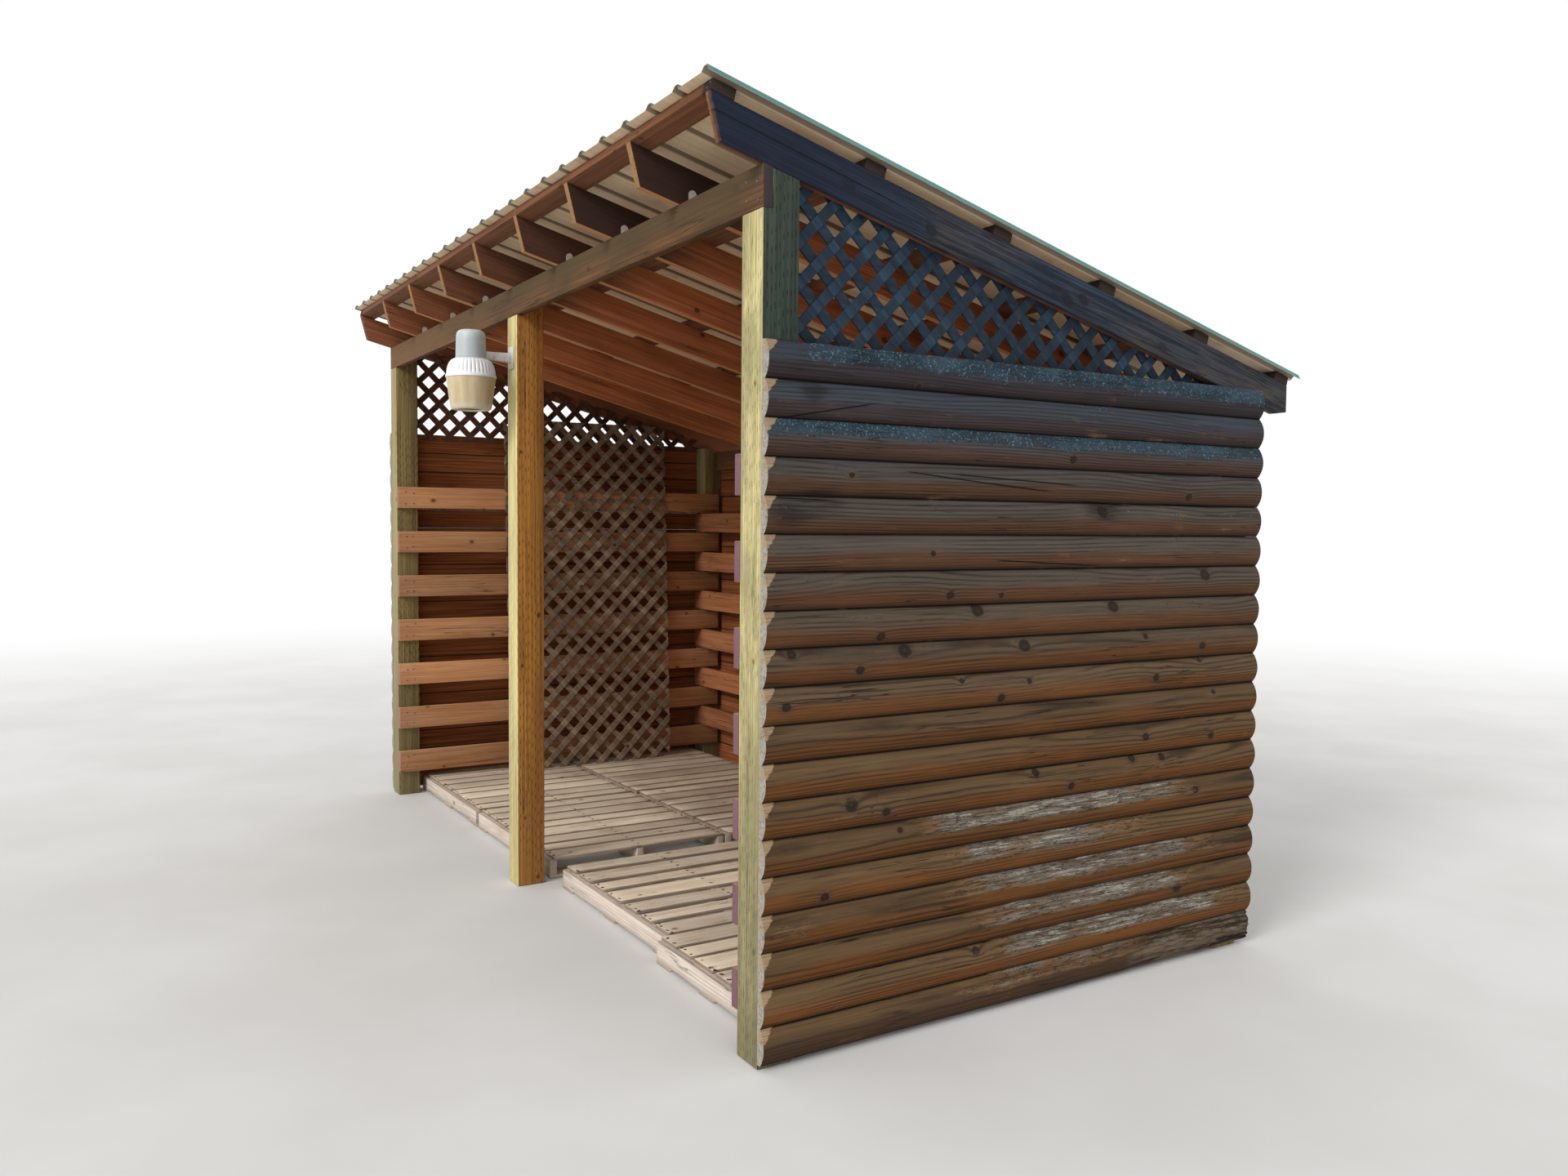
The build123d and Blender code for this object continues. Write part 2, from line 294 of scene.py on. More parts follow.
class Paint:
    def __init__(self, name):
        self.material = bpy.data.materials.new(name)
        self.material.use_nodes = True
        self.tree = self.material.node_tree
        self.tree.nodes.clear()
        self.spot = self.add("ShaderNodeTexCoord", output="Object")
        self.x, self.y, self.z = (self.axis(self.spot, letter) for letter in "XYZ")
        self.back = self.y - frontY   # metres behind the post faces
        self.colour = None

    def add(self, kind, settings=None, sockets=None, output=0):
        # one node: its settings first, then what goes into its sockets
        made = self.tree.nodes.new(kind)
        for key, value in (settings or {}).items():
            setattr(made, key, value)
        for key, value in (sockets or {}).items():
            if isinstance(value, Wire):
                self.tree.links.new(value.socket, made.inputs[key])
            else:
                made.inputs[key].default_value = value
        return Wire(self, made.outputs[output]) if len(made.outputs) else made

    def vector(self, x, y, z=0.0):
        return self.add("ShaderNodeCombineXYZ", {}, {0: x, 1: y, 2: z})

    def axis(self, place, name):
        return self.add("ShaderNodeSeparateXYZ", {}, {0: place}, name)

    def length(self, place):
        return self.add("ShaderNodeVectorMath", {"operation": "LENGTH"}, {0: place}, "Value")

    def noise(self, scale, detail, rough=0.55, place=None):
        return self.add("ShaderNodeTexNoise", {}, {"Vector": place or self.spot, "Scale": scale,
                                                   "Detail": detail, "Roughness": rough})

    def clouds(self, x, y, z, detail, rough=0.55):
        return self.noise(1.0, detail, rough, self.vector(x, y, z))

    def stretched(self, x, y, z, detail, rough=0.55):
        # noise with its own number of waves to the metre along each axis
        return self.clouds(self.x * x, self.y * y, self.z * z, detail, rough)

    def cells(self, place, output, dimensions="2D"):
        return self.add("ShaderNodeTexVoronoi", {"voronoi_dimensions": dimensions},
                        {"Vector": place, "Scale": 1.0}, output)

    def chance(self, number):
        return self.add("ShaderNodeTexWhiteNoise", {"noise_dimensions": "1D"}, {"W": number}, "Value")

    def field(self, name, output="Fac"):
        return self.add("ShaderNodeAttribute", {"attribute_name": name}, {}, output)

    def facing(self, axis):
        return self.axis(self.add("ShaderNodeNewGeometry", {}, {}, "Normal"), axis)

    def mix(self, share, first, second, blend="MIX"):
        # indices 6 and 7 are the colour sockets, output 2 the colour
        first, second = ((*tone, 1) if isinstance(tone, tuple) else tone for tone in (first, second))
        settings = {"data_type": "RGBA", "blend_type": blend}
        return self.add("ShaderNodeMix", settings, {0: share, 6: first, 7: second}, 2)

    def coat(self, share, tone):
        # lays a tone over the colour so far
        self.colour = self.mix(share, self.colour, tone)

    def shaded(self, colour, share):
        return self.mix(1.0, colour, self.vector(share, share, share), "MULTIPLY")

    def finish(self, rough, height, relief, **plain):
        normal = self.add("ShaderNodeBump", {}, {"Height": height, "Distance": relief, "Strength": 1.0})
        sockets = {key.replace("_", " "): value for key, value in plain.items()}
        sockets.update({"Base Color": self.colour, "Roughness": rough, "Normal": normal})
        shader = self.add("ShaderNodeBsdfPrincipled", {}, sockets)
        self.add("ShaderNodeOutputMaterial", {}, {0: shader})
        return self.material


# camera where the photograph was taken from
cameraPlan = {"x": 5.8077, "y": -3.1978, "z": 1.8127, "turn": 58.3091, "tilt": -2.8992, "roll": 0.4865,
              "lens": 27.5, "sensor": 36}


def placeCamera(plan):
    turn, tilt, roll = (math.radians(plan[key]) for key in ("turn", "tilt", "roll"))
    ahead = Vector((-math.sin(turn) * math.cos(tilt), math.cos(turn) * math.cos(tilt), math.sin(tilt)))
    right = Vector((math.cos(turn), math.sin(turn), 0))
    up = right.cross(ahead)
    sideways = right * math.cos(roll) + up * math.sin(roll)
    upright = up * math.cos(roll) - right * math.sin(roll)
    axes = Matrix((sideways, upright, -ahead)).transposed().to_4x4()
    data = bpy.data.cameras.new("photoCamera")
    data.lens = plan["lens"]
    data.sensor_width = plan["sensor"]
    data.sensor_fit = "HORIZONTAL"
    data.clip_end = 200
    camera = addObject("photoCamera", data)
    camera.matrix_world = Matrix.Translation((plan["x"], plan["y"], plan["z"])) @ axes
    bpy.context.scene.camera = camera


lightPlan = {"sky": 0.76, "keyLight": (1.8, (0.3, -1.0, 0.55), 24), "fillLight": (0.45, (1.0, -0.3, 0.75), 50)}


def lightScene(plan):
    # two broad suns: strength, where from and spread in degrees
    for name in ("keyLight", "fillLight"):
        strength, source, spread = plan[name]
        data = bpy.data.lights.new(name, "SUN")
        data.energy = strength
        data.angle = math.radians(spread)
        addObject(name, data).rotation_euler = Vector(source).to_track_quat("Z", "Y").to_euler()
    world = bpy.data.worlds.new("studio")
    bpy.context.scene.world = world
    world.use_nodes = True
    tree = world.node_tree
    tree.nodes.clear()
    # the sky is white where it is seen, also in metal and glass, and dimmer as a light
    rays = tree.nodes.new("ShaderNodeLightPath")
    seen = rays.outputs["Is Camera Ray"]
    for kind in ("Is Glossy Ray", "Is Transmission Ray"):
        either = tree.nodes.new("ShaderNodeMath")
        either.operation = "MAXIMUM"
        tree.links.new(seen, either.inputs[0])
        tree.links.new(rays.outputs[kind], either.inputs[1])
        seen = either.outputs[0]
    strength = tree.nodes.new("ShaderNodeMapRange")
    strength.inputs[3].default_value = plan["sky"]
    strength.inputs[4].default_value = 1.0
    background = tree.nodes.new("ShaderNodeBackground")
    background.inputs[0].default_value = (1, 1, 1, 1)
    output = tree.nodes.new("ShaderNodeOutputWorld")
    tree.links.new(seen, strength.inputs[0])
    tree.links.new(strength.outputs[0], background.inputs[1])
    tree.links.new(background.outputs[0], output.inputs[0])


def layFloor():
    floor = startFrom("circle", "paleFloor", vertices=96, radius=60, fill_type="NGON", location=(0, 0, -0.001))
    paint = Paint("palePlaster")
    colour = paint.mix(paint.noise(0.7, 4).step(0.3, 0.7), (0.66, 0.65, 0.63), (0.72, 0.715, 0.7))
    shader = paint.add("ShaderNodeBsdfPrincipled", {}, {"Base Color": colour, "Roughness": 0.9})
    glow = paint.add("ShaderNodeEmission", {}, {0: (1, 1, 1, 1), 1: 1.0})
    cameraRay = paint.add("ShaderNodeLightPath", {}, {}, "Is Camera Ray")
    far = paint.length(paint.spot).step(6.0, 17.0) * cameraRay
    surface = paint.add("ShaderNodeMixShader", {}, {0: far, 1: shader, 2: glow})
    paint.add("ShaderNodeOutputMaterial", {}, {0: surface})
    floor.data.materials.append(paint.material)


bpy.context.scene.view_settings.view_transform = "Standard"
placeCamera(cameraPlan)
lightScene(lightPlan)
layFloor()
report("camera, lights and floor")


# timber, with its grain along the first axis named, across the second and through the third
def boardAxes(paint, look):
    # the three axes, moved on from board to board, and the board's own number from 0 to 1
    along, wide, thick = (getattr(paint, axis) for axis in look["grain"])
    if look["lean"] == 1:
        wide = wide + paint.y * roofFall
    if look["lean"] == 2:
        thick = thick + paint.y * roofFall
    own = paint.chance((paint.field("board") + 0.5).floor())
    along = along + own * 23
    return along, wide + own * 3, thick, own


def slowBend(paint, along, own):
    return paint.clouds(along * 0.8, own * 40, 0.0, 1)


def knotCells(paint, look, along, wide, squeeze):
    # knots sit in cells along the timber: how far the nearest is, and its cell's luck
    run, lane = look["knotRun"], look["knotLane"]
    cell = paint.vector(along / run, wide / lane)
    centre = paint.cells(cell, "Position")
    offset = paint.vector((along - paint.axis(centre, "X") * run) * squeeze, wide - paint.axis(centre, "Y") * lane)
    return paint.length(offset), paint.cells(cell, "Color") * 1


def grain(paint, look):
    along, wide, thick, own = boardAxes(paint, look)
    away, luck = knotCells(paint, look, along, wide + thick, 0.75)
    # most cells are without a knot
    knotSize = luck.step(look["knotLuck"], look["knotLuck"] + 0.01) * luck * look["knotSize"] + 0.0001
    return weave(paint, look, along, wide, thick, own, slowBend(paint, along, own), away / knotSize)


def weave(paint, look, along, wide, thick, own, bend, knot):
    # lays the timber's colour and gives back its height and masks
    swirl = 0.016 / (knot * knot + 1)
    radius = paint.length(paint.vector(wide + (bend - 0.5) * look["wander"] + swirl, thick + 0.05 + own * 0.05))
    fine = paint.clouds(along * 7, wide * 260, thick * 260, 2)
    streak = paint.clouds(along * 1.5, wide * 75, thick * 75, 3, 0.6)
    broad = paint.clouds(along * 1.1, wide * 24, thick * 24, 3)
    patches = paint.clouds(along * 1.7, wide * 5, thick * 5 + own * 30, 4, 0.6)
    rings = (radius * look["rings"] + broad * 3.0).wave() * 0.5 + 0.5
    rings = rings * rings * rings
    split = paint.clouds(along * 1.1, wide * 44, thick * 44 + 7.3, 2)
    splitWhere = paint.clouds(along * 2.0 + 31.0, wide * 9, thick * 9, 1)
    crack = (split - 0.5).size().step(0.011, 0.0) * splitWhere.step(look["crackFrom"], look["crackFrom"] + 0.07)
    core = knot.step(1.0, 0.8)
    rim = core * knot.step(0.55, 0.8)
    halo = knot.step(2.3, 0.9)
    paint.colour = paint.mix((streak * 0.6 + broad * 0.4).step(0.34, 0.66), look["dark"], look["pale"])
    paint.coat(patches.step(0.45, 0.7) * look["patch"], look["patchTone"])
    paint.coat(rings * look["ringShow"], look["ringTone"])
    shade = (fine - 0.5) * look["fineShow"] + (own - 0.5) * look["boardShow"] + 1
    paint.colour = paint.shaded(paint.colour, shade)
    paint.coat(halo * 0.4, look["halo"])
    paint.coat(core * 0.9, paint.mix((knot * 11 + broad * 6).wave() * 0.35 + 0.65, look["halo"], look["knot"]))
    paint.coat(rim * 0.45, look["knot"])
    paint.coat(crack * look["crackShow"], look["crackTone"])
    height = fine * 0.45 - rings * 0.25 + streak * 0.5 - crack * 1.4 - core * 0.4
    return SimpleNamespace(height=height, along=along, wide=wide, own=own, fine=fine, streak=streak, broad=broad,
                           patches=patches, rings=rings, crack=crack, core=core, knot=knot)


def endGrain(paint, wood, look):
    # the sawn ends show rings instead of streaks
    facing = paint.facing(look["grain"][0].upper()).size().step(0.75, 0.92)
    wide, thick = (getattr(paint, axis) for axis in look["grain"][1:])
    radius = paint.length(paint.vector(wide + 0.013, thick - 0.021))
    rings = (radius * 900 + paint.noise(14.0, 2) * 9).wave() * 0.5 + 0.5
    specks = paint.noise(90.0, 3).step(0.35, 0.7)
    wood.sawn = paint.mix(rings * 0.35 + specks * 0.4, look["end"], look["endDark"])
    paint.coat(facing, wood.sawn)


def timberPaint(name, look, extra=None):
    paint = Paint(name)
    wood = grain(paint, look)
    endGrain(paint, wood, look)
    if extra:
        extra(paint, wood, look)
    rough = wood.broad * 0.16 + look["rough"] - 0.08
    return paint.finish(rough, wood.height, look["relief"], Specular_IOR_Level=0.25)


plainLook = {"grain": "yzx", "lean": 0, "knotRun": 0.4, "knotLane": 0.16, "knotLuck": 0.58, "knotSize": 0.016,
             "rings": 620, "ringShow": 0.4, "wander": 0.12, "fineShow": 0.6, "boardShow": 0.3, "patch": 0.35,
             "crackShow": 0.8, "crackFrom": 0.56, "crackTone": (0.012, 0.009, 0.007), "relief": 0.0014,
             "rough": 0.8}


def lookOf(**changes):
    return {**plainLook, **changes}


# posts: treated, pale where the weather reaches them, with incising cuts on the sides; the much darker sides are
# partly painted shade
postLook = lookOf(
    grain="zxy", knotRun=0.33, knotLane=0.28, knotLuck=0.5, knotSize=0.013, relief=0.0016, wander=0.05, rings=520,
    ringShow=0.4, pale=(0.86, 0.75, 0.36), dark=(0.47, 0.4, 0.18), patchTone=(0.34, 0.32, 0.17),
    ringTone=(0.34, 0.26, 0.11), halo=(0.36, 0.24, 0.09), knot=(0.14, 0.07, 0.025), end=(0.3, 0.24, 0.15),
    endDark=(0.1, 0.07, 0.04), crackTone=(0.07, 0.055, 0.025))
incising = {"lane": 0.0155, "pitch": 0.062}   # metres between the rows, and from cut to cut


def postFinish(sideTone, sideDark, backTone, dull):
    def add(paint, wood, look):
        side = paint.facing("X").size().step(0.5, 0.8)
        front = paint.facing("Y").step(-0.5, -0.8)
        low = paint.stretched(4, 4, 1.4, 4)
        # the side faces: the post's own darker tone, deepened by painted shade
        face = paint.mix(wood.streak.step(0.35, 0.65), sideDark, sideTone)
        face = paint.mix(wood.rings * 0.35, face, tuple(0.5 * c for c in sideDark))
        face = paint.mix(wood.crack * 0.8, face, (0.01, 0.012, 0.009))
        face = paint.mix(wood.core * 0.85, face, tuple(0.3 * c for c in sideDark))
        rear = paint.mix(wood.streak.step(0.3, 0.7), tuple(0.6 * c for c in backTone), backTone)
        paint.coat(1 - front, rear)
        paint.coat(side, face)
        # duller towards the foot, with stains; the darker foot is partly weathering and partly painted shade
        blotch = paint.stretched(12, 12, 2.6, 4, 0.65)
        stained = (blotch * 0.7 + wood.streak * 0.5).step(0.53, 0.68) * (1 - side) * dull * 0.85
        paint.coat(stained, (0.225, 0.205, 0.11))
        foot = (paint.z + low * 1.2 + (wood.streak - 0.5) * 1.2).step(2.1, 0.7) * dull
        paint.coat(foot, (0.135, 0.118, 0.066))
        # rows of short cuts, staggered from lane to lane
        lane = (paint.x + paint.y) / incising["lane"]
        along = (paint.z / incising["pitch"] + paint.chance(lane.floor()) * 0.9).part()
        cut = along.step(0.05, 0.12) * along.step(0.45, 0.36) * (lane.part() - 0.5).size().step(0.14, 0.04)
        cut = cut * low.step(0.34, 0.5)
        paint.coat(cut * (side * 0.5 + 0.25), tuple(0.35 * c for c in sideDark))
        wood.height = wood.height - cut * 1.4
    return add


greenPost = timberPaint("greenPost", postLook,
                        postFinish((0.048, 0.066, 0.046), (0.02, 0.031, 0.024), (0.24, 0.16, 0.06), 0.8))
orangePost = timberPaint("orangePost", postLook,
                         postFinish((0.45, 0.195, 0.038), (0.3, 0.12, 0.022), (0.24, 0.15, 0.06), 0.15))
# a darker copy of the post look: painted shade for the back posts and the left front post
insidePost = timberPaint("insidePost", {**postLook, "pale": (0.42, 0.36, 0.17), "dark": (0.28, 0.22, 0.1)},
                         postFinish((0.27, 0.2, 0.075), (0.16, 0.115, 0.045), (0.26, 0.18, 0.07), 0.35))


for side, paint in (("left", insidePost), ("middle", orangePost), ("right", greenPost)):
    dressTimber("front_post_" + side, "post_timber", paint, 0.006)
    dressTimber("back_post_" + side, "post_timber", insidePost, 0.006)
report("posts")

# rafters, purlins and beams
frameLook = lookOf(
    lean=1, pale=(0.54, 0.19, 0.07), dark=(0.31, 0.094, 0.035), patchTone=(0.22, 0.085, 0.042),
    ringTone=(0.17, 0.052, 0.022), halo=(0.2, 0.068, 0.028), knot=(0.06, 0.022, 0.011),
    end=(0.36, 0.19, 0.075), endDark=(0.17, 0.08, 0.03), patch=0.45, boardShow=0.5)
# gable rafters: weathered grey, with a blue tint painted as sky light in shade
gableLook = lookOf(
    lean=1, pale=(0.036, 0.06, 0.098), dark=(0.006, 0.01, 0.018), patchTone=(0.08, 0.066, 0.054),
    ringTone=(0.01, 0.014, 0.026), halo=(0.022, 0.024, 0.03), knot=(0.007, 0.007, 0.009),
    end=(0.36, 0.19, 0.075), endDark=(0.17, 0.08, 0.03), patch=0.7, boardShow=0.1, knotSize=0.034, knotLuck=0.55,
    ringShow=0.6, crackFrom=0.5, crackTone=(0.003, 0.003, 0.004))
# the long split of the right gable rafter, and where its tail turns browner: metres behind the post faces
gableMarks = {"split": (-0.2, 0.55, 0.085), "brownTail": (1.5, 2.1)}


def weatheredAndLitRafter(paint, wood, look):
    # dark and dull where the rafters stand out in front of the beam, most on the right
    out = (paint.back + wood.patches * 0.12).step(0.55, 0.22)
    right = paint.x.step(-2.2, 1.6)
    side = paint.facing("X").size().step(0.5, 0.8)
    paint.coat(out * side * (right * 0.42 + 0.54), (0.018, 0.0095, 0.008))
    # painted light: the undersides lighter, as if lit from the ground below
    paint.coat(paint.facing("Z").step(-0.6, -0.9) * 0.55, (0.52, 0.26, 0.11))


def gableRafter(outward):
    def add(paint, wood, look):
        # weathered grey outside with a blue tint and darkness that are painted sky light in shade, red-brown inside,
        # browner near the tail
        inside = (paint.facing("X") * outward).step(0.2, -0.2)
        brown = paint.mix(wood.streak.step(0.3, 0.7), (0.16, 0.054, 0.024), (0.28, 0.1, 0.04))
        start, end = gableMarks["brownTail"]
        tail = (paint.back + wood.patches * 0.9).step(start + 0.45, end + 0.45)
        paint.coat(tail * wood.broad.step(0.42, 0.62) * 0.45, (0.085, 0.06, 0.05))
        veins = paint.clouds(wood.along * 2.4, wood.wide * 46, 0.0, 4, 0.65)
        paint.coat(veins.step(0.48, 0.6) * 0.8, (0.006, 0.009, 0.018))
        paint.coat(paint.back.step(0.9, 0.1) * 0.82, (0.005, 0.009, 0.024))
        first, last, drop = gableMarks["split"]
        line = paint.z + paint.back * (roofFall + 0.012) - roofFront - drop + (wood.patches - 0.5) * 0.012
        reach = paint.back.step(first - 0.2, first) * paint.back.step(last + 0.1, last - 0.1)
        crack = line.size().step(0.0035, 0.001) * reach
        paint.coat(crack * 0.95, (0.002, 0.002, 0.003))
        paint.coat(inside, brown)
        wood.height = wood.height - crack * 2.0
    return add


def oliveBeam(paint, wood, look):
    # greener along the upper edge, paler at the left, with ends near black as painted shade
    front = paint.facing("Y").step(-0.4, -0.8)
    rise = (paint.z + wood.patches * 0.16 + wood.streak * 0.06).step(2.965, 3.06)
    paint.coat(front * rise * 0.7, (0.07, 0.052, 0.024))
    left = (paint.x + wood.patches * 0.8).step(0.6, -1.6) * front * 0.45
    paint.coat(left, (0.22, 0.105, 0.04))
    # painted shade on the end faces
    ends = paint.facing("X").size().step(0.7, 0.9)
    paint.coat(ends * 0.92, (0.016, 0.018, 0.03))


def paintedShadeOnEnds(paint, wood, look):
    # painted shadow: the end faces and the ends past the walls near black
    ends = paint.facing("X").size().step(0.7, 0.9).most(paint.x.size().step(2.36, 2.4))
    paint.coat(ends * 0.92, (0.012, 0.01, 0.012))


rafterWood = timberPaint("rafterWood", frameLook, weatheredAndLitRafter)
rightGableWood = timberPaint("rightGableWood", gableLook, gableRafter(1))
leftGableWood = timberPaint("leftGableWood", gableLook, gableRafter(-1))
purlinWood = timberPaint("purlinWood", {**frameLook, "grain": "xyz", "lean": 2, "pale": (0.17, 0.072, 0.03),
                                        "dark": (0.09, 0.035, 0.015)}, paintedShadeOnEnds)
beamWood = timberPaint("beamWood", {**frameLook, "grain": "xzy", "lean": 0, "pale": (0.18, 0.084, 0.032),
                                    "dark": (0.078, 0.035, 0.014), "patchTone": (0.06, 0.038, 0.018), "patch": 0.7,
                                    "ringTone": (0.05, 0.024, 0.011), "halo": (0.08, 0.035, 0.015)}, oliveBeam)


for number in range(1, 10):
    dressTimber("rafter_%d" % number, "frame_timber", {1: rightGableWood, 9: leftGableWood}.get(number, rafterWood))
for number in range(1, 7):
    dressTimber("purlin_%d" % number, "frame_timber", purlinWood)
dressTimber("front_beam", "frame_timber", beamWood)
dressTimber("back_beam", "frame_timber", beamWood)
report("frame")

# ribbed sheet, teal above and cream below
sheetPlan = {"ribs": 25, "half": 2.4685, "rib": 0.046, "pitch": (2 * 2.4685 - 0.046) / 24}


def sheetPaint(plan):
    paint = Paint("ribbedSheet")
    up = paint.facing("Z").step(-0.12, 0.12)
    edge = paint.facing("Y").size().step(0.86, 0.95).most(paint.facing("X").size().step(0.95, 0.99))
    run = paint.stretched(26, 0.8, 0, 4)
    spots = paint.noise(9.0, 4)
    rib = ((paint.x + plan["half"]) / plan["pitch"]).part() * plan["pitch"]   # metres from each rib's start
    teal = paint.mix(run.step(0.35, 0.75), (0.04, 0.165, 0.152), (0.075, 0.25, 0.225))
    teal = paint.mix(spots.step(0.6, 0.75) * 0.5, teal, (0.19, 0.24, 0.21))
    beside = rib.step(plan["rib"], 0.052) * rib.step(0.075, 0.052)
    teal = paint.mix(beside * 0.4, teal, (0.1, 0.11, 0.09))
    cream = paint.mix(run.step(0.3, 0.8), (0.64, 0.485, 0.31), (0.8, 0.63, 0.42))
    cream = paint.mix(spots.step(0.55, 0.8) * 0.4, cream, (0.26, 0.17, 0.1))
    # painted shade: the inside of each rib, seen from below, is dark
    inRib = rib.step(0.0, 0.004) * rib.step(plan["rib"], plan["rib"] - 0.004)
    cream = paint.mix(inRib * 0.72, cream, (0.085, 0.055, 0.035))
    rust = paint.mix(spots.step(0.4, 0.7), (0.2, 0.15, 0.1), (0.34, 0.29, 0.22))
    paint.colour = paint.mix(up, cream, teal)
    paint.coat(edge, rust)
    return paint.finish(spots * 0.25 + 0.34, run * 0.3 + spots * 0.5, 0.0006, Specular_IOR_Level=0.4)


def paintNode(node, paint):
    # a CAD node that is shown as it is
    if not nodes[node].data.materials:
        nodes[node].data.materials.append(paint)
    for slot in nodes[node].material_slots:
        slot.material = paint


paintNode("roof_sheet", sheetPaint(sheetPlan))
report("roof sheet")

# half logs
logLook = lookOf(
    knotRun=0.5, knotLane=logPitch, knotLuck=0.55, knotSize=0.02, relief=0.0022, wander=0.1, rings=560,
    pale=(0.125, 0.092, 0.06), dark=(0.068, 0.046, 0.03), patchTone=(0.062, 0.048, 0.036),
    ringTone=(0.026, 0.017, 0.011), halo=(0.042, 0.025, 0.016), knot=(0.015, 0.011, 0.009),
    end=(0.42, 0.385, 0.33), endDark=(0.15, 0.125, 0.1), patch=0.5, boardShow=0.22, ringShow=0.62,
    crackFrom=0.54, crackShow=0.9)
# outer tones, lower half and upper half, of the lowest logs and of the highest; all hold painted shade, being as dark
# as the wall in shade, the greyer heads are partly a painted sky sheen and the bluish top courses partly painted sky
# light
logTones = {"lowFoot": (0.15, 0.058, 0.017), "lowHead": (0.118, 0.07, 0.034),
            "highFoot": (0.088, 0.043, 0.024), "highHead": (0.07, 0.06, 0.051),
            "topFoot": (0.03, 0.032, 0.046), "topHead": (0.032, 0.044, 0.064)}

# knots seen on the right wall: metres behind the post faces, height, size of 1 small, 2 middling, 3 large
wallKnots = (
    (0.618, 2.304, 1), (0.684, 1.724, 1), (0.767, 1.575, 2), (1.01, 1.57, 1), (2.134, 1.629, 3),
    (0.901, 1.517, 3), (1.598, 1.511, 3), (0.463, 1.438, 2), (0.103, 1.394, 2), (0.569, 1.384, 3),
    (0.375, 1.326, 2), (1.129, 1.377, 3), (2.124, 1.333, 2), (1.786, 1.384, 1), (0.831, 1.262, 1),
    (1.156, 1.242, 1), (1.848, 1.215, 2), (2.122, 1.273, 1), (1.019, 1.187, 2), (0.077, 1.22, 2),
    (2.21, 1.133, 1), (2.195, 0.95, 2), (1.794, 0.978, 2), (1.204, 0.888, 2), (1.731, 0.893, 2),
    (1.902, 0.884, 2), (0.345, 0.865, 3), (0.493, 0.823, 2), (1.383, 0.819, 2), (2.103, 0.727, 2),
    (1.461, 0.75, 2), (0.817, 0.726, 1), (0.559, 0.75, 1), (0.721, 0.773, 1), (1.312, 0.498, 2),
    (1.036, 0.477, 1), (2.004, 0.33, 3), (1.36, 2.08, 2), (0.33, 1.99, 1), (2.02, 1.95, 2),
    (0.92, 0.25, 2), (1.72, 0.62, 1), (0.24, 0.56, 2), (1.524, 1.885, 3))
# where the surface flakes: course, start and end behind the post faces
flakyRuns = {5: (0.7, 1.9), 4: (0.8, 1.65), 3: (0.87, 2.1), 2: (0.94, 1.95), 1: (1.0, 2.25)}
# dark stains: metres behind the post faces, height, half length
wallStains = ((1.524, 1.885, 0.11), (0.1, 1.865, 0.11), (0.2, 1.9, 0.12), (0.177, 2.268, 0.06))
# long dark cracks: where each starts and ends, metres behind the post faces and height
wallCracks = ((0.04, 2.165, 0.46, 2.241), (0.556, 2.01, 1.149, 1.96), (0.763, 2.008, 1.403, 1.98),
              (0.878, 1.983, 1.275, 1.952), (0.02, 1.912, 0.3, 1.905), (1.4, 1.925, 1.72, 1.905),
              (1.855, 1.917, 2.234, 1.913), (0.972, 1.699, 1.547, 1.671))
logPlan = {"flat": 0.02, "crown": 0.046, "height": 0.126, "backFrom": 0.0195,
           "innerFace": 2.4392, "outerFrom": 2.441, "outerTo": 2.45, "wave": 0.0018, "ripple": 0.001,
           "knotSizes": {1: 0.011, 2: 0.017, 3: 0.026}, "stainHeight": 0.045}


def courseOf(z):
    place = (z - logFoot) / logPitch
    course = math.floor(place)
    return course, place - course


def rightWallMarks(x, y, z):
    # what the weather has done at one spot of the right wall
    back = y - frontY
    course, v = courseOf(z)
    outside = rampUp(x, logPlan["outerFrom"], logPlan["outerTo"])
    marks = {"lichen": 0.0, "flake": 0.0, "dark": 0.0, "rot": 0.0}
    if course == 18:
        marks["lichen"] = rampUp(v, 0.2, 0.7) * rampUp(back, 0.0, 0.3) * 0.95
    elif course == 17:
        marks["lichen"] = 0.4 * rampUp(v, 0.45, 0.9) * rampUp(back, 0.8, 1.2) * rampUp(-back, -2.1, -1.6)
    elif course == 16:
        marks["lichen"] = 0.85 * rampUp(v, 0.35, 0.75)
    elif course > 8:
        marks["lichen"] = 0.3 * rampUp(v, 0.45, 0.7) * rampUp(-v, -0.98, -0.85)
    if course in flakyRuns:
        start, end = flakyRuns[course]
        run = rampUp(back, start - 0.15, start + 0.15) * rampUp(-back, -end - 0.3, -end + 0.1)
        marks["flake"] = rampUp(v, 0.4, 0.58) * run
    if course == 0:
        marks["rot"] = rampUp(back, 1.3, 2.1)
        marks["flake"] = 0.75 * rampUp(v, 0.42, 0.62) * rampUp(back, 0.6, 1.1)
    for spot, height, length in wallStains:
        far = math.hypot((back - spot) / length, (z - height) / logPlan["stainHeight"])
        marks["dark"] = max(marks["dark"], clamp(1.6 - far))
    return {key: value * outside for key, value in marks.items()}


knotsOfCourse = {}
for spot, height, size in wallKnots:
    knotsOfCourse.setdefault(courseOf(height)[0], []).append((spot, height, logPlan["knotSizes"][size]))


def nearestKnot(y, z):
    # offset to the nearest placed knot of this course, in knot sizes
    offsets = [((y - frontY - spot) / (width * 1.2), (z - height) / width)
               for spot, height, width in knotsOfCourse.get(courseOf(z)[0], ())]
    return min(offsets + [(9.0, 9.0)], key=lambda offset: math.hypot(*offset))


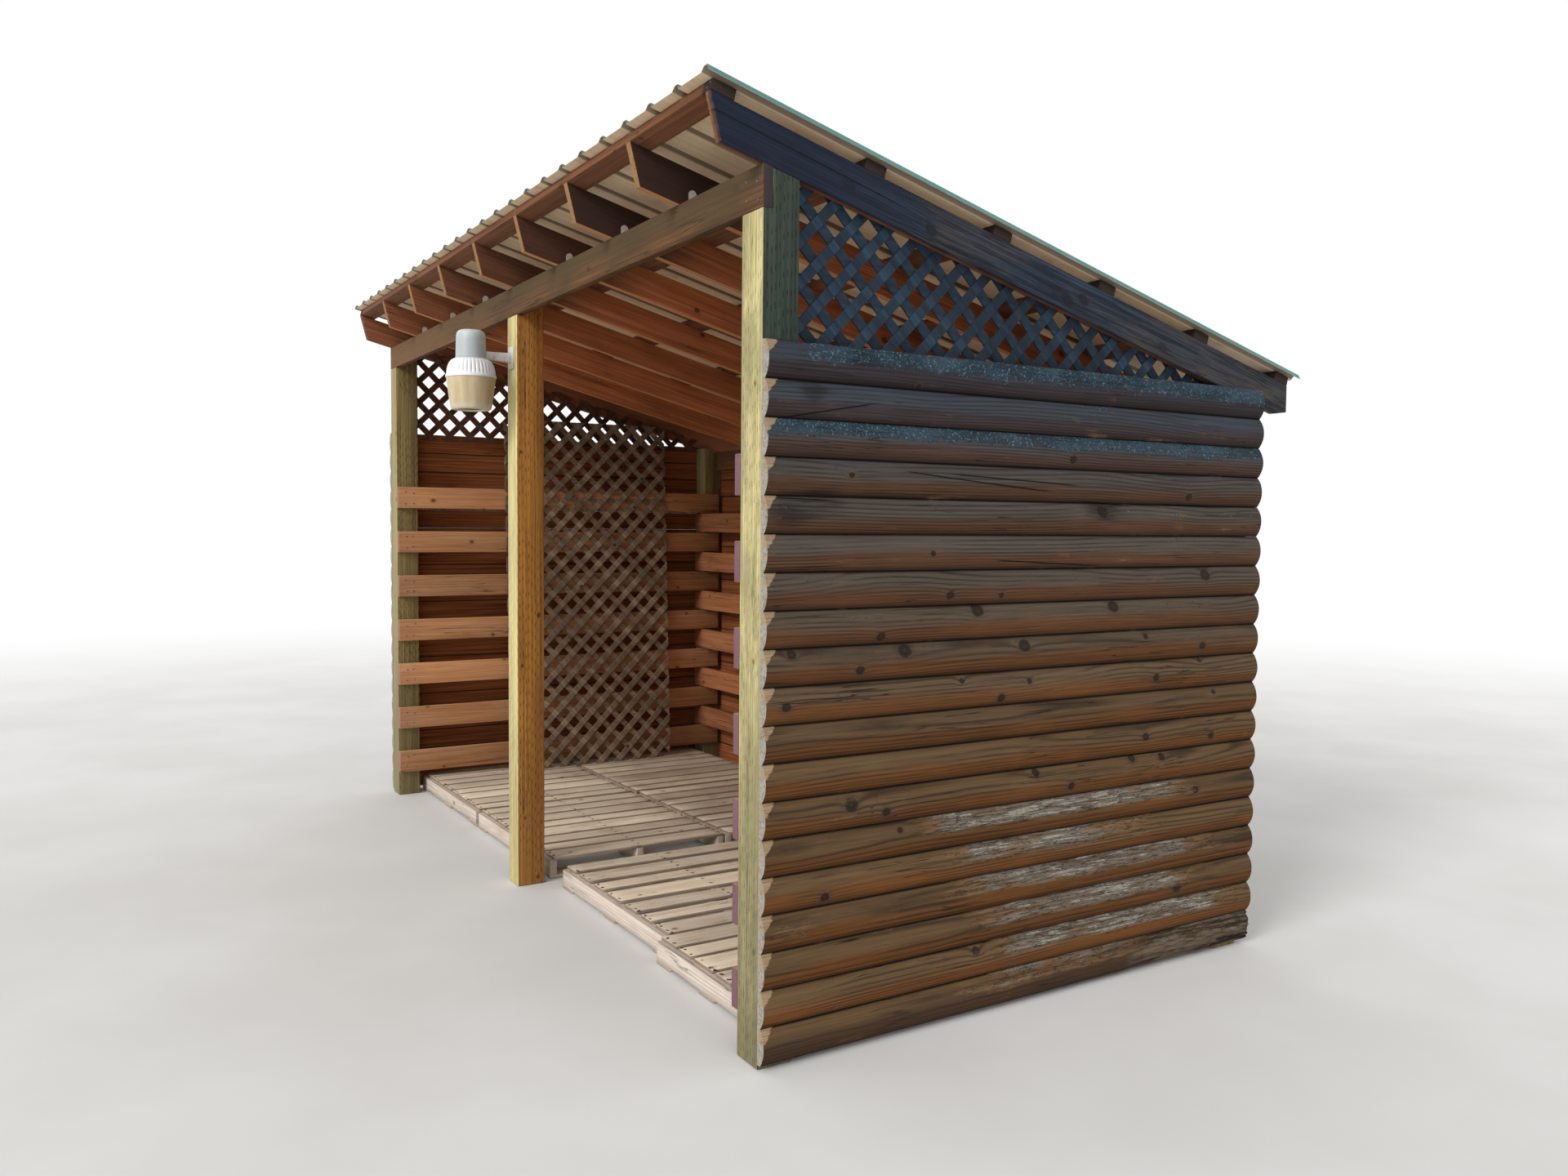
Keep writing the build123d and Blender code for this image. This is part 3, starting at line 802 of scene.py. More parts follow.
def writeMarks(piece, marksAt):
    points = [tuple(vertex.co) for vertex in piece.data.vertices]
    marks = [marksAt(*point) for point in points]
    for name in marks[0]:
        writeValues(piece, name, [mark[name] for mark in marks])
    knots = [nearestKnot(y, z) for x, y, z in points]
    offsets = piece.data.attributes.new("knotOffset", "FLOAT_VECTOR", "POINT")
    offsets.data.foreach_set("vector", [value for knot in knots for value in (*knot, 0.0)])
    writeValues(piece, "knotReach", [min(math.hypot(*knot), 12.0) for knot in knots])


def logSurface(paint, wood, look):
    # what all the log walls share: red-brown feet, greyer heads, dark joints, brown inner faces
    course = (paint.z - logFoot) / logPitch
    v = course.part()
    inside = paint.field("inner")
    high, top = course.step(7.0, 15.0), course.step(15.0, 18.0) * 0.8
    foot, head = (paint.mix(top, paint.mix(high, logTones["low" + part], logTones["high" + part]),
                            logTones["top" + part]) for part in ("Foot", "Head"))
    level = v + (wood.patches - 0.5) * 0.55 + (wood.streak - 0.5) * 0.45
    # feet to heads: the greyer heads are partly the logs' own weathering and partly a painted sky sheen
    tone = paint.mix(level.step(0.3, 0.62), foot, head)
    shade = (wood.streak - 0.5) * 1.1 + (wood.fine - 0.5) * 0.6 + (wood.own - 0.5) * 0.25 + 1
    lines = wood.rings * 0.75 * wood.patches.step(0.35, 0.55)
    tone = paint.mix(lines, paint.shaded(tone, shade), look["ringTone"])
    detail = wood.core.most(wood.crack).most(wood.knot.step(2.3, 0.9) * 0.5)
    paint.colour = paint.mix(detail, tone, paint.colour)
    # painted shade: a dark band along the underside of each log
    under = (v + (wood.patches - 0.5) * 0.1).step(0.2, 0.03)
    paint.coat(under * 0.5, (0.02, 0.012, 0.008))
    # painted shade: the lowest course darkened, as if in shade near the ground
    lowestCourseShade = course.step(1.02, 0.98) * v.step(0.8, 0.4) * (0.85 - wood.patches * 0.4)
    paint.coat(lowestCourseShade, (0.032, 0.025, 0.019))
    joint = v.step(0.055, 0.015).most(v.step(0.955, 0.99))
    paint.coat(joint * 0.85, (0.006, 0.005, 0.004))
    brown = paint.mix(wood.streak.step(0.3, 0.72), (0.17, 0.05, 0.017), (0.36, 0.125, 0.042))
    brown = paint.mix(joint * 0.9, brown, (0.012, 0.006, 0.004))
    sawn = paint.facing(look["grain"][0].upper()).size().step(0.5, 0.8)
    paint.coat(sawn, wood.sawn)
    paint.coat(inside * (1 - sawn), brown)
    wood.v = v
    wood.outside = 1 - inside


def longCracks(paint, wood, cracks):
    # 1 along each of the placed cracks
    found = paint.z * 0
    for start, low, end, high in cracks:
        slant = (paint.back - start) * ((high - low) / (end - start))
        rise = paint.z - low - slant + (wood.patches - 0.5) * 0.014
        reach = paint.back.step(start - 0.01, start + 0.05) * paint.back.step(end + 0.01, end - 0.1)
        found = found.most(rise.size().step(0.003, 0.001) * reach)
    return found


# weathering of the right wall, with painted sunlight on the log ends
def weatheredAndSunlitWall(paint, wood, look):
    logSurface(paint, wood, look)
    spots = paint.noise(55.0, 4, 0.7)
    specks = paint.noise(130.0, 3, 0.6)
    blotch = paint.stretched(5, 5, 11, 4, 0.6)
    peel = paint.stretched(20, 3.2, 62, 4, 0.65)
    dark = paint.field("dark") * 0.7 + (blotch - 0.5) * 0.8 + (peel - 0.5) * 1.4 + (wood.streak - 0.5) * 0.8
    paint.coat(dark.step(0.25, 0.95) * 0.8, (0.012, 0.01, 0.011))
    # bands rubbed bare and bleached, orange where they break up, with loose pale flakes
    thin = paint.stretched(30, 7, 110, 4, 0.65)
    band = paint.field("flake") * 0.95 + (blotch - 0.5) * 1.5 + (peel - 0.5) * 1.2
    raw = band.step(0.2, 0.5)
    paint.coat(raw * 0.75, paint.mix(wood.streak.step(0.35, 0.65), (0.108, 0.056, 0.025), (0.2, 0.118, 0.062)))
    bleached = paint.mix(wood.streak.step(0.32, 0.66), (0.11, 0.086, 0.064), (0.215, 0.19, 0.16))
    paint.coat(band.step(0.52, 0.9) * 0.8, bleached)
    flake = (band * 0.55 + (thin - 0.5) * 1.5).step(0.56, 0.63) * paint.field("flake").step(0.05, 0.4)
    paint.coat(flake * 0.75, paint.mix(spots.step(0.4, 0.6), (0.235, 0.205, 0.165), (0.36, 0.335, 0.29)))
    broken = (thin - 0.47).size().step(0.016, 0.004) * raw
    paint.coat(broken * 0.75, (0.022, 0.014, 0.009))
    cracks = longCracks(paint, wood, wallCracks)
    paint.coat(cracks * 0.9, (0.004, 0.004, 0.005))
    mossy = (paint.field("lichen") * 0.95 + (spots - 0.5) * 1.5 + (blotch - 0.5) * 1.0).step(0.46, 0.66)
    # the lichen's grey-green is its own; its blue tint is painted sky light
    mossTone = paint.mix(blotch.step(0.35, 0.65), (0.012, 0.026, 0.038), (0.032, 0.056, 0.08))
    pale = specks.step(0.53, 0.64) * spots.step(0.42, 0.58)
    paint.coat(mossy * 0.9, paint.mix(pale, mossTone, (0.14, 0.2, 0.22)))
    rot = (paint.field("rot") + (blotch - 0.5) * 0.9).step(0.3, 0.8)
    paint.coat(rot * 0.75, paint.mix(peel.step(0.42, 0.56), (0.016, 0.011, 0.008), (0.15, 0.115, 0.08)))
    # painted sunlight: pale wedges on the upper front end of each outer log, where the sun grazes along the wall
    wedge = paint.back * 9 + wood.streak * 0.25 - (wood.v - 0.62) * 1.1
    paintedSunWedge = wedge.step(0.16, 0.1) * wood.outside * wood.v.step(0.6, 0.68)
    paint.coat(paintedSunWedge * 0.8, paint.mix(wood.fine.step(0.3, 0.7), (0.28, 0.19, 0.11), (0.42, 0.31, 0.19)))
    wood.height = wood.height + flake * 0.8 - broken * 0.8 - cracks * 2.0
    wood.height = wood.height + (spots + specks) * 0.5 * mossy - rot * peel * 1.6


def logPaint(name, look, extra, placedKnots=False):
    paint = Paint(name)
    if placedKnots:
        along, wide, thick, own = boardAxes(paint, look)
        ragged = paint.noise(60.0, 2) * 0.4
        away = paint.length(paint.field("knotOffset", "Vector")) + ragged - 0.2
        away = away.most(paint.field("knotReach") - 1.6)
        wood = weave(paint, look, along, wide, thick, own, slowBend(paint, paint.y, own), away)
    else:
        wood = grain(paint, look)
    endGrain(paint, wood, look)
    extra(paint, wood, look)
    rough = wood.broad * 0.14 + look["rough"] - 0.06
    return paint.finish(rough, wood.height, look["relief"], Specular_IOR_Level=0.12)


def markInside(piece, within):
    # 1 on the flat inner faces, 0 outside
    writeValues(piece, "inner", [1.0 if within(*vertex.co) else 0.0 for vertex in piece.data.vertices])


def roundLogs(piece, axis, side, foot, cuts):
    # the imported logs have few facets: cut their backs finer and set them on the true arc
    sagitta = logPlan["crown"] - logPlan["flat"]
    radius = ((logPlan["height"] / 2) ** 2 + sagitta ** 2) / (2 * sagitta)
    place = "XYZ".index(axis)

    def onBack(point):
        return (point[place] - foot) * side > logPlan["backFrom"]

    cutEdges(piece, cuts, lambda a, b: onBack(a) and onBack(b) and (b - a).length < 0.06)
    for vertex in piece.data.vertices:
        if onBack(vertex.co):
            middle = logFoot + courseOf(vertex.co.z)[0] * logPitch + logPlan["height"] / 2
            rise = vertex.co.z - middle
            vertex.co[place] = foot + side * (logPlan["crown"] - radius + math.sqrt(radius ** 2 - rise ** 2))


rightPlan = {"cuts": 190, "wander": 0.0022, "flakeDepth": 0.0016, "rotDepth": 0.014}


def wearRightWall(plan):
    piece = workCopy("right_wall_logs", "right_wall_timber")
    roundLogs(piece, "X", 1, rightX, 2)
    cutAcross(piece, "Y", plan["cuts"])
    writeMarks(piece, rightWallMarks)
    markInside(piece, lambda x, y, z: x < logPlan["innerFace"])
    flake, rot = readValues(piece, "flake"), readValues(piece, "rot")
    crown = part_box("right_wall_logs")[1].x
    for vertex in piece.data.vertices:
        x, y, z = vertex.co
        if x < logPlan["innerFace"]:
            continue
        course, v = courseOf(z)
        slow = noise.noise(Vector((course * 7.1, y * 2.3, 0.0)))
        quickly = noise.noise(Vector((course * 3.7, y * 9, z * 24)))
        rough = noise.noise(Vector((x * 40, y * 30, z * 90)))
        depth = plan["wander"] * (1 + slow) + logPlan["ripple"] * (1 + quickly)
        depth += plan["flakeDepth"] * flake[vertex.index] * (rough > 0.05)
        depth += plan["rotDepth"] * rot[vertex.index] * clamp(0.35 + rough + 0.6 * quickly + 0.4 * (1 - v))
        vertex.co.x -= depth * (0.35 + 0.65 * rampUp(x, logPlan["innerFace"], crown))
    smoothSides(piece, 50)
    finishPiece(piece, "log_siding", logPaint("weatheredLogs", logLook, weatheredAndSunlitWall, True), "right_wall_logs")


def makeLogWall(node, axis, cuts, paint, within, outward):
    # the axis is the one along the logs
    piece = workCopy(node, node.replace("_logs", "_timber"))
    if axis == "Y":
        roundLogs(piece, "X", -1, -rightX, 1)
    else:
        roundLogs(piece, "Y", 1, backFace, 1)
    cutAcross(piece, axis, cuts)
    markInside(piece, within)
    inner = readValues(piece, "inner")
    for vertex in piece.data.vertices:
        if inner[vertex.index] < 0.5:
            x, y, z = vertex.co
            course = courseOf(z)[0]
            along = y if axis == "Y" else x
            depth = logPlan["wave"] * (1 + noise.noise(Vector((course * 5.3, along * 2.1, 4.0))))
            depth += logPlan["ripple"] * (1 + noise.noise(Vector((course * 2.9, along * 8, z * 20))))
            vertex.co += Vector(outward) * -depth
    smoothSides(piece, 50)
    finishPiece(piece, "log_siding", paint, node)


plainLogs = logPaint("plainLogs", logLook, logSurface)
backLogs = logPaint("backLogs", {**logLook, "grain": "xzy"}, logSurface)
wearRightWall(rightPlan)
makeLogWall("left_wall_logs", "Y", 60, plainLogs, lambda x, y, z: x > -logPlan["innerFace"], (-1, 0, 0))
makeLogWall("back_wall_logs", "X", 110, backLogs, lambda x, y, z: y < backFace + 0.0008, (0, 1, 0))
report("log walls")

# lattices, each lath with its own shade
lathPlan = {"pitch": 0.099, "diagonal": 0.7071, "panelThick": 0.016}
# the gable laths: dark grey, with a blue tint painted as sky light in shade
latticeLook = lookOf(
    knotRun=0.5, knotLane=lathPlan["pitch"], knotSize=0.01, rings=700, relief=0.001,
    pale=(0.03, 0.059, 0.096), dark=(0.012, 0.026, 0.046), patchTone=(0.04, 0.056, 0.072),
    ringTone=(0.009, 0.015, 0.024), halo=(0.025, 0.022, 0.02), knot=(0.012, 0.009, 0.008),
    end=(0.1, 0.08, 0.06), endDark=(0.03, 0.025, 0.02), patch=0.5, boardShow=0.0, ringShow=0.35)
panelLook = {**latticeLook, "pale": (0.33, 0.235, 0.155), "dark": (0.2, 0.14, 0.092),
             "patchTone": (0.24, 0.195, 0.15), "ringTone": (0.1, 0.064, 0.04), "behind": (0.3, 0.155, 0.085)}


def latticePaint(name, look, node, flip, inward=0):
    # laths of the two layers run at right angles, so each layer has its own grain
    low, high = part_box(node)
    paint = Paint(name)
    across = (paint.y - (low.y + high.y) / 2) * lathPlan["diagonal"]
    rise = (paint.z - (low.z + high.z) / 2) * lathPlan["diagonal"]
    layer = flip(paint)
    first, second = across + rise, rise - across
    along = first * layer + second * (1 - layer)
    wide = second * layer + first * (1 - layer)
    own = paint.chance((wide / lathPlan["pitch"] + 0.5).floor() + layer * 57)
    away, luck = knotCells(paint, look, along + own * 23, wide, 1)
    knot = away / (luck.step(0.6, 0.62) * look["knotSize"] + 0.0001)
    wood = weave(paint, look, along + own * 23, wide, paint.x, own, slowBend(paint, along, own), knot)
    paint.colour = paint.shaded(paint.colour, own * 0.6 + 0.7)
    if "behind" in look:
        paint.coat(layer * 0.65, look["behind"])
    inLath, beside = (((place / lathPlan["pitch"] + 0.5).part() - 0.5).size() * lathPlan["pitch"]
                      for place in (wide, along))
    # painted shade along the edges of each lath
    paint.coat(inLath.step(0.015, 0.019) * 0.45, look["ringTone"])
    # painted shadow: the layer behind is darker along the edges of the laths in front
    paint.coat(beside.step(0.036, 0.018) * layer * 0.7, look["ringTone"])
    if inward:
        # stained red-brown on the side that faces into the shed
        within = (paint.facing("X") * inward).step(0.2, 0.6)
        paint.coat(within, paint.mix(wood.streak.step(0.35, 0.65), (0.06, 0.026, 0.015), (0.125, 0.055, 0.03)))
    return paint.finish(0.82, wood.height, look["relief"], Specular_IOR_Level=0.2)


def paintGable(node, name, inward):
    # the layer behind is the half of the thickness towards the inside of the shed
    middle = sum(corner.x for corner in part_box(node)) / 2
    paintNode(node, latticePaint(name, latticeLook, node,
                                 lambda paint: paint.x.step(middle - 0.001 * inward, middle + 0.001 * inward), inward))


def leaningLayer(paint):
    # the panel leans on the left wall: its first layer faces the wall
    low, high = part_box("lattice_panel")
    lean = (high.x - low.x - lathPlan["panelThick"]) / (high.z - low.z)
    depth = paint.x + (paint.z - low.z) * lean - high.x
    return depth.step(-0.0075, -0.0085)


paintGable("right_gable_lattice", "gableLaths", -1)
paintGable("left_gable_lattice", "leftGableLaths", 1)
paintNode("lattice_panel", latticePaint("panelLaths", panelLook, "lattice_panel", leaningLayer))
report("lattices")

# boards inside the walls
boardLook = lookOf(
    knotRun=0.36, knotLane=0.14, knotLuck=0.52, knotSize=0.015, wander=0.08,
    pale=(0.52, 0.255, 0.108), dark=(0.36, 0.155, 0.062), patchTone=(0.5, 0.31, 0.18),
    ringTone=(0.25, 0.105, 0.045), halo=(0.22, 0.09, 0.038), knot=(0.075, 0.028, 0.012),
    end=(0.36, 0.2, 0.17), endDark=(0.2, 0.1, 0.085), boardShow=0.5, ringShow=0.35)


def pinkEnds(pink):
    def add(paint, wood, look):
        # the front ends keep a purple tinge; edges stay paler
        near = (paint.back + wood.patches * 0.25 - 0.12).step(0.24, 0.04)
        paint.coat(near * pink, (0.2, 0.1, 0.125))
        paint.coat(paint.facing("Z").size().step(0.7, 0.9) * 0.45, (0.56, 0.35, 0.2))
    return add


leftBoards = timberPaint("leftBoards", boardLook, pinkEnds(0.12))
rightLook = {**boardLook, "pale": (0.36, 0.15, 0.066), "dark": (0.22, 0.082, 0.034),
             "end": (0.16, 0.088, 0.105), "endDark": (0.085, 0.045, 0.056)}
rightBoards = timberPaint("rightBoards", rightLook, pinkEnds(0.75))
backBoards = timberPaint("backBoards", {**boardLook, "grain": "xzy", "pale": (0.42, 0.16, 0.062),
                                        "dark": (0.25, 0.086, 0.032), "patchTone": (0.36, 0.17, 0.085)})
for side, paint in (("left", leftBoards), ("right", rightBoards), ("back", backBoards)):
    dressTimber(side + "_inner_boards", "inner_boards", paint)
report("inner boards")

# pallets
palletLook = lookOf(
    grain="yxz", knotRun=0.42, knotLane=0.16, knotLuck=0.6, knotSize=0.013, relief=0.0016, wander=0.06, rings=520,
    pale=(0.92, 0.8, 0.63), dark=(0.74, 0.61, 0.45), patchTone=(0.6, 0.49, 0.38), ringTone=(0.4, 0.3, 0.2),
    halo=(0.42, 0.3, 0.19), knot=(0.17, 0.1, 0.06), end=(0.58, 0.49, 0.39), endDark=(0.3, 0.23, 0.17),
    crackTone=(0.08, 0.06, 0.045), patch=0.45, boardShow=0.45, ringShow=0.3)
leadLook = {**palletLook, "grain": "xzy", "pale": (0.76, 0.66, 0.57), "dark": (0.6, 0.51, 0.44)}


def palletPaint(name, look, lead):
    # deck boards run back, the pieces under them run along
    paint = Paint(name)
    deck = grain(paint, look)
    endGrain(paint, deck, look)
    deckColour = paint.colour
    under = grain(paint, lead)
    endGrain(paint, under, lead)
    level = paint.z.step(0.094, 0.0942)
    member = paint.z.step(0.016, 0.0162) * (1 - level)
    paint.colour = paint.mix(member, deckColour, paint.colour)
    height = deck.height * (1 - member) + under.height * member
    dirt = paint.stretched(3, 3, 9, 5, 0.62)
    paint.coat(dirt.step(0.5, 0.72) * 0.35, (0.34, 0.24, 0.16))
    # painted shade: darker deeper into the shed
    paint.coat((paint.back + dirt * 1.2).step(1.3, 2.4) * 0.5, (0.22, 0.135, 0.08))
    # painted shade on the upright faces of the deck boards, in the gaps between them
    paint.coat(paint.facing("Z").step(0.5, 0.1) * level * 0.6, (0.16, 0.1, 0.06))
    # damp near the ground
    paint.coat((paint.z + dirt * 0.05).step(0.06, 0.025) * 0.45, (0.16, 0.12, 0.09))
    return paint.finish(deck.broad * 0.15 + 0.74, height, look["relief"], Specular_IOR_Level=0.22)


palletWood = palletPaint("palletWood", palletLook, leadLook)


palletPlan = {"deckFrom": 0.0935, "bow": 0.0011, "sway": 0.0016}


def makePallet(node):
    piece = workCopy(node, node + "_timber")
    roundEdges(piece, 0.0025)
    cutAcross(piece, "Y", 14, 0.5)
    cutAcross(piece, "X", 14, 0.5)
    low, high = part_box(node)
    board = readValues(piece, "board")
    for vertex in piece.data.vertices:
        x, y, z = vertex.co
        number = board[vertex.index]
        if z > palletPlan["deckFrom"]:
            bow = noise.noise(Vector((number * 3.3, y * 1.7, 0.0)))
            vertex.co.z -= palletPlan["bow"] * (1 + bow)
            sway = noise.noise(Vector((number * 5.1, y * 3, 2.0)))
            vertex.co.x += palletPlan["sway"] * sway * (low.x + 0.003 < x < high.x - 0.003)
    smoothSides(piece)
    finishPiece(piece, "pallet_wood", palletWood, node)


for number in range(1, 5):
    makePallet("front_pallet_%d" % number)
makePallet("back_pallets")
report("pallets")

# yard lamp
lampPlan = {"x": 0.0, "y": frontY - 0.206, "foot": 2.37, "skirt": 2.525, "skirtTop": 2.617, "top": 2.757,
            "flutes": 36, "sides": 288}


def turnedRings(name, plan, rings, sides, capStart=False, capEnd=False):
    # a circle extruded upwards ring by ring and scaled to each radius
    height, radius = rings[0]
    piece = startFrom("circle", name, vertices=sides, radius=radius, fill_type="NGON" if capStart else "NOTHING",
                      location=(plan["x"], plan["y"], height))
    setMode("EDIT")
    bpy.ops.mesh.select_mode(type="EDGE")
    bpy.ops.mesh.select_all(action="SELECT")
    for (before, wide), (after, narrow) in zip(rings, rings[1:]):
        bpy.ops.mesh.extrude_edges_move(TRANSFORM_OT_translate={"value": (0, 0, after - before)})
        share = narrow / wide
        bpy.ops.transform.resize(value=(share, share, 1), center_override=(plan["x"], plan["y"], after))
    if capEnd:
        bpy.ops.mesh.edge_face_add()
    pointOutwards()
    return piece


def ringsFrom(base, *rings):
    # heights above a base, with their radii
    return [(base + up, radius) for up, radius in rings]


def enamel(name, tone, dirtTone, dirt, rough, low, high):
    # painted or moulded surface with a little grime towards one end
    paint = Paint(name)
    cloud = paint.noise(22.0, 4)
    streak = paint.stretched(60, 60, 6, 3)
    share = (cloud * 0.6 + streak * 0.4 + paint.z.step(low, high) * 0.25).step(0.45, 0.85) * dirt
    paint.colour = paint.mix(share, tone, dirtTone)
    return paint.finish(cloud * 0.2 + rough, paint.noise(900.0, 2) * 0.4 + cloud * 0.3, 0.0003)


def makeLamp(plan):
    top, skirtTop, skirt, foot = plan["top"], plan["skirtTop"], plan["skirt"], plan["foot"]
    cap = turnedRings("lamp_cap_shell", plan, ringsFrom(
        skirtTop, (0, 0.074), (0.002, 0.0748), (0.006, 0.0748), (0.008, 0.0722), (0.06, 0.0716)) + ringsFrom(
        top, (-0.03, 0.07), (-0.016, 0.0672), (-0.007, 0.061), (-0.0018, 0.051), (-0.0002, 0.038), (0, 0.02)),
        64, True, True)
    smoothSides(cap, 50)
    finishPiece(cap, "lamp_metal", enamel("lampGrey", (0.42, 0.46, 0.47), (0.66, 0.67, 0.66), 0.6, 0.36,
                                          top - 0.06, top), "lamp_cap")

    ellipse = [(skirt + 0.014 + 0.078 * math.sin(a), 0.076 + 0.041 * math.cos(a))
               for a in (math.radians(5 + 85 * i / 12) for i in range(13))]
    shell = turnedRings("lamp_skirt_shell", plan, ringsFrom(
        skirt, (0, 0.1192), (0.0008, 0.1206), (0.0025, 0.1209), (0.0105, 0.1209), (0.013, 0.1202), (0.0142, 0.118))
        + ellipse + [(skirtTop - 0.0002, 0.0715)], plan["sides"])
    for vertex in shell.data.vertices:
        x, y, z = vertex.co
        share = clamp((z - skirt - 0.0148) / 0.004) * (1 - 0.75 * rampUp(z, skirt + 0.04, skirtTop))
        angle = math.atan2(y - plan["y"], x - plan["x"])
        crest = abs(math.cos(angle * plan["flutes"] / 2)) ** 0.55
        depth = 0.0052 * share * (1 - crest)
        out = Vector((x - plan["x"], y - plan["y"]))
        out.normalize()
        vertex.co.x -= out.x * depth
        vertex.co.y -= out.y * depth
    useModifier(shell, "SOLIDIFY", thickness=0.0026, offset=-1.0, use_even_offset=True)
    smoothSides(shell, 60)
    finishPiece(shell, "lamp_skirt", enamel("skirtWhite", (0.84, 0.85, 0.87), (0.66, 0.67, 0.66), 0.5, 0.22,
                                            skirt, skirtTop), "lamp_skirt")

    lens = turnedRings("lamp_lens_shell", plan, ringsFrom(
        foot, (0.008, 0.061), (0.005, 0.0624), (0.0022, 0.066), (0.0012, 0.072), (0.0003, 0.079), (0.0003, 0.084),
        (0.002, 0.089), (0.007, 0.094), (0.015, 0.0975), (0.03, 0.1008), (0.06, 0.105), (0.1, 0.1104),
        (0.15, 0.1168)) + [(skirt + 0.009, 0.1174)], 96)
    useModifier(lens, "SOLIDIFY", thickness=0.0032, offset=-1.0, use_even_offset=True)
    smoothSides(lens, 50)
    paint = Paint("ivoryLens")
    streak = paint.stretched(34, 34, 3, 3)
    cloud = paint.noise(15.0, 3)
    paint.colour = paint.mix((streak * 0.7 + cloud * 0.3).step(0.35, 0.7), (0.52, 0.41, 0.245), (0.65, 0.53, 0.34))
    paint.coat(paint.z.step(foot + 0.045, foot + 0.004) * 0.35, (0.84, 0.78, 0.66))
    lensPaint = paint.finish(streak * 0.15 + 0.24, streak, 0.0008, Subsurface_Weight=0.25, Subsurface_Scale=0.01)
    finishPiece(lens, "lamp_lens", lensPaint, "lamp_lens")


def makeArm(plan):
    # bracket: a plate on the post and a channel that narrows towards the cap
    centreZ = plan["top"] - 0.118
    arm = startFrom("cube", "lamp_arm_bracket", size=1, location=(plan["x"], frontY - 0.004, centreZ),
                    scale=(0.07, 0.008, 0.11))
    pickFaces(arm, lambda face: face.normal.y < -0.9)
    bpy.ops.mesh.inset(thickness=0.012, depth=0)
    middle = (plan["x"], frontY - 0.008, centreZ)
    for wide, tall, forward in ((0.8, 0.62, 0.022), (0.92, 0.82, 0.05), (0.95, 0.92, 0.06)):
        bpy.ops.transform.resize(value=(wide, 1, tall), center_override=middle)
        bpy.ops.mesh.extrude_region_move(TRANSFORM_OT_translate={"value": (0, -forward, 0)})
    setMode("OBJECT")
    roundEdges(arm, 0.0025)
    smoothSides(arm)
    finishPiece(arm, "lamp_metal", enamel("armWhite", (0.66, 0.65, 0.64), (0.3, 0.25, 0.2), 0.8, 0.4,
                                          centreZ + 0.02, centreZ - 0.05), "lamp_arm")


makeLamp(lampPlan)
makeArm(lampPlan)
report("lamp")

# twisted ties between the front beam and the rafters
tiePlan = {"width": 0.032, "thickness": 0.0016, "rise": 0.066, "drop": 0.056, "seam": 0.038,
           "rafters": (2, 3, 4, 6, 7, 8)}


def zincPaint():
    paint = Paint("zincSteel")
    spangle = paint.cells(paint.vector(paint.x * 160, paint.y * 160, paint.z * 160), "Color", "3D") * 1
    cloud = paint.noise(40.0, 3)
    paint.colour = paint.mix(spangle, (0.6, 0.61, 0.61), (0.82, 0.83, 0.82))
    paint.coat(cloud.step(0.5, 0.7) * 0.4, (0.34, 0.3, 0.25))
    return paint.finish(spangle * 0.2 + 0.42, cloud, 0.0004, Metallic=0.4)


zinc = zincPaint()


def makeTies(plan):
    ties = []
    seam = frontY + plan["seam"]
    under = roofFront - roofFall * plan["seam"]
    centre, span = plan["width"] / 2, plan["rise"] + plan["drop"]
    for number in plan["rafters"]:
        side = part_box("rafter_%d" % number)[1].x
        tie = startFrom("grid", "rafter_tie", x_subdivisions=4, y_subdivisions=40, size=1, location=(0, 0, 0))
        for vertex in tie.data.vertices:
            across = (vertex.co.x + 0.5) * plan["width"]
            height = (vertex.co.y + 0.5) * span - plan["drop"]
            turn = math.radians(90) * clamp((height + 0.016) / 0.03)
            waist = 0.5 * plan["width"] * (1 - 0.3 * math.exp(-(height / 0.02) ** 2))
            reach = (across - centre) * waist * 2 / plan["width"]
            if height > plan["rise"] - 0.016:
                reach *= math.sqrt(clamp(1 - ((height - plan["rise"] + 0.016) / 0.0165) ** 2, 0.02, 1))
            vertex.co = (side + 0.0012 + centre * math.cos(turn) ** 2 + reach * math.cos(turn),
                         seam + 0.0012 + centre * math.sin(turn) ** 2 + reach * math.sin(turn), under + height)
        useModifier(tie, "SOLIDIFY", thickness=plan["thickness"], offset=0.0)
        ties.append(tie)
    joined = joinAs("rafter_tie_straps", ties)
    setMode("EDIT")
    pointOutwards()
    smoothSides(joined, 40)
    finishPiece(joined, "zinc_steel", zinc, "rafter_ties")


makeTies(tiePlan)


# nail heads and roof screws
def stampHeads(name, spots, sides, tall, paint):
    # one head modelled once, then copied to each place: centre, outward direction, radius
    first = startFrom("cylinder", "oneHead", vertices=sides, radius=1, depth=tall, end_fill_type="NGON",
                      location=(0, 0, tall / 2 - 0.15 * tall))
    pickFaces(first, lambda face: face.normal.z > 0.9)
    bpy.ops.mesh.inset(thickness=0.22, depth=0.0)
    bpy.ops.transform.translate(value=(0, 0, 0.12 * tall))
    setMode("OBJECT")
    heads = []
    for place, outward, radius in spots:
        mesh = first.data.copy()
        turn = Vector(outward).to_track_quat("Z", "Y").to_matrix().to_4x4()
        mesh.transform(Matrix.Translation(place) @ turn @ Matrix.Diagonal((radius, radius, radius, 1)))
        heads.append(addObject(name, mesh))
    bpy.data.objects.remove(first)
    finishPiece(joinAs(name, heads), "zinc_steel", paint)


def rustPaint(name, pale, dark):
    paint = Paint(name)
    cloud = paint.noise(170.0, 3)
    paint.colour = paint.mix(cloud.step(0.35, 0.65), pale, dark)
    return paint.finish(cloud * 0.3 + 0.42, cloud, 0.0004, Metallic=0.5)


def wobble(size):
    return random.uniform(-size, size)


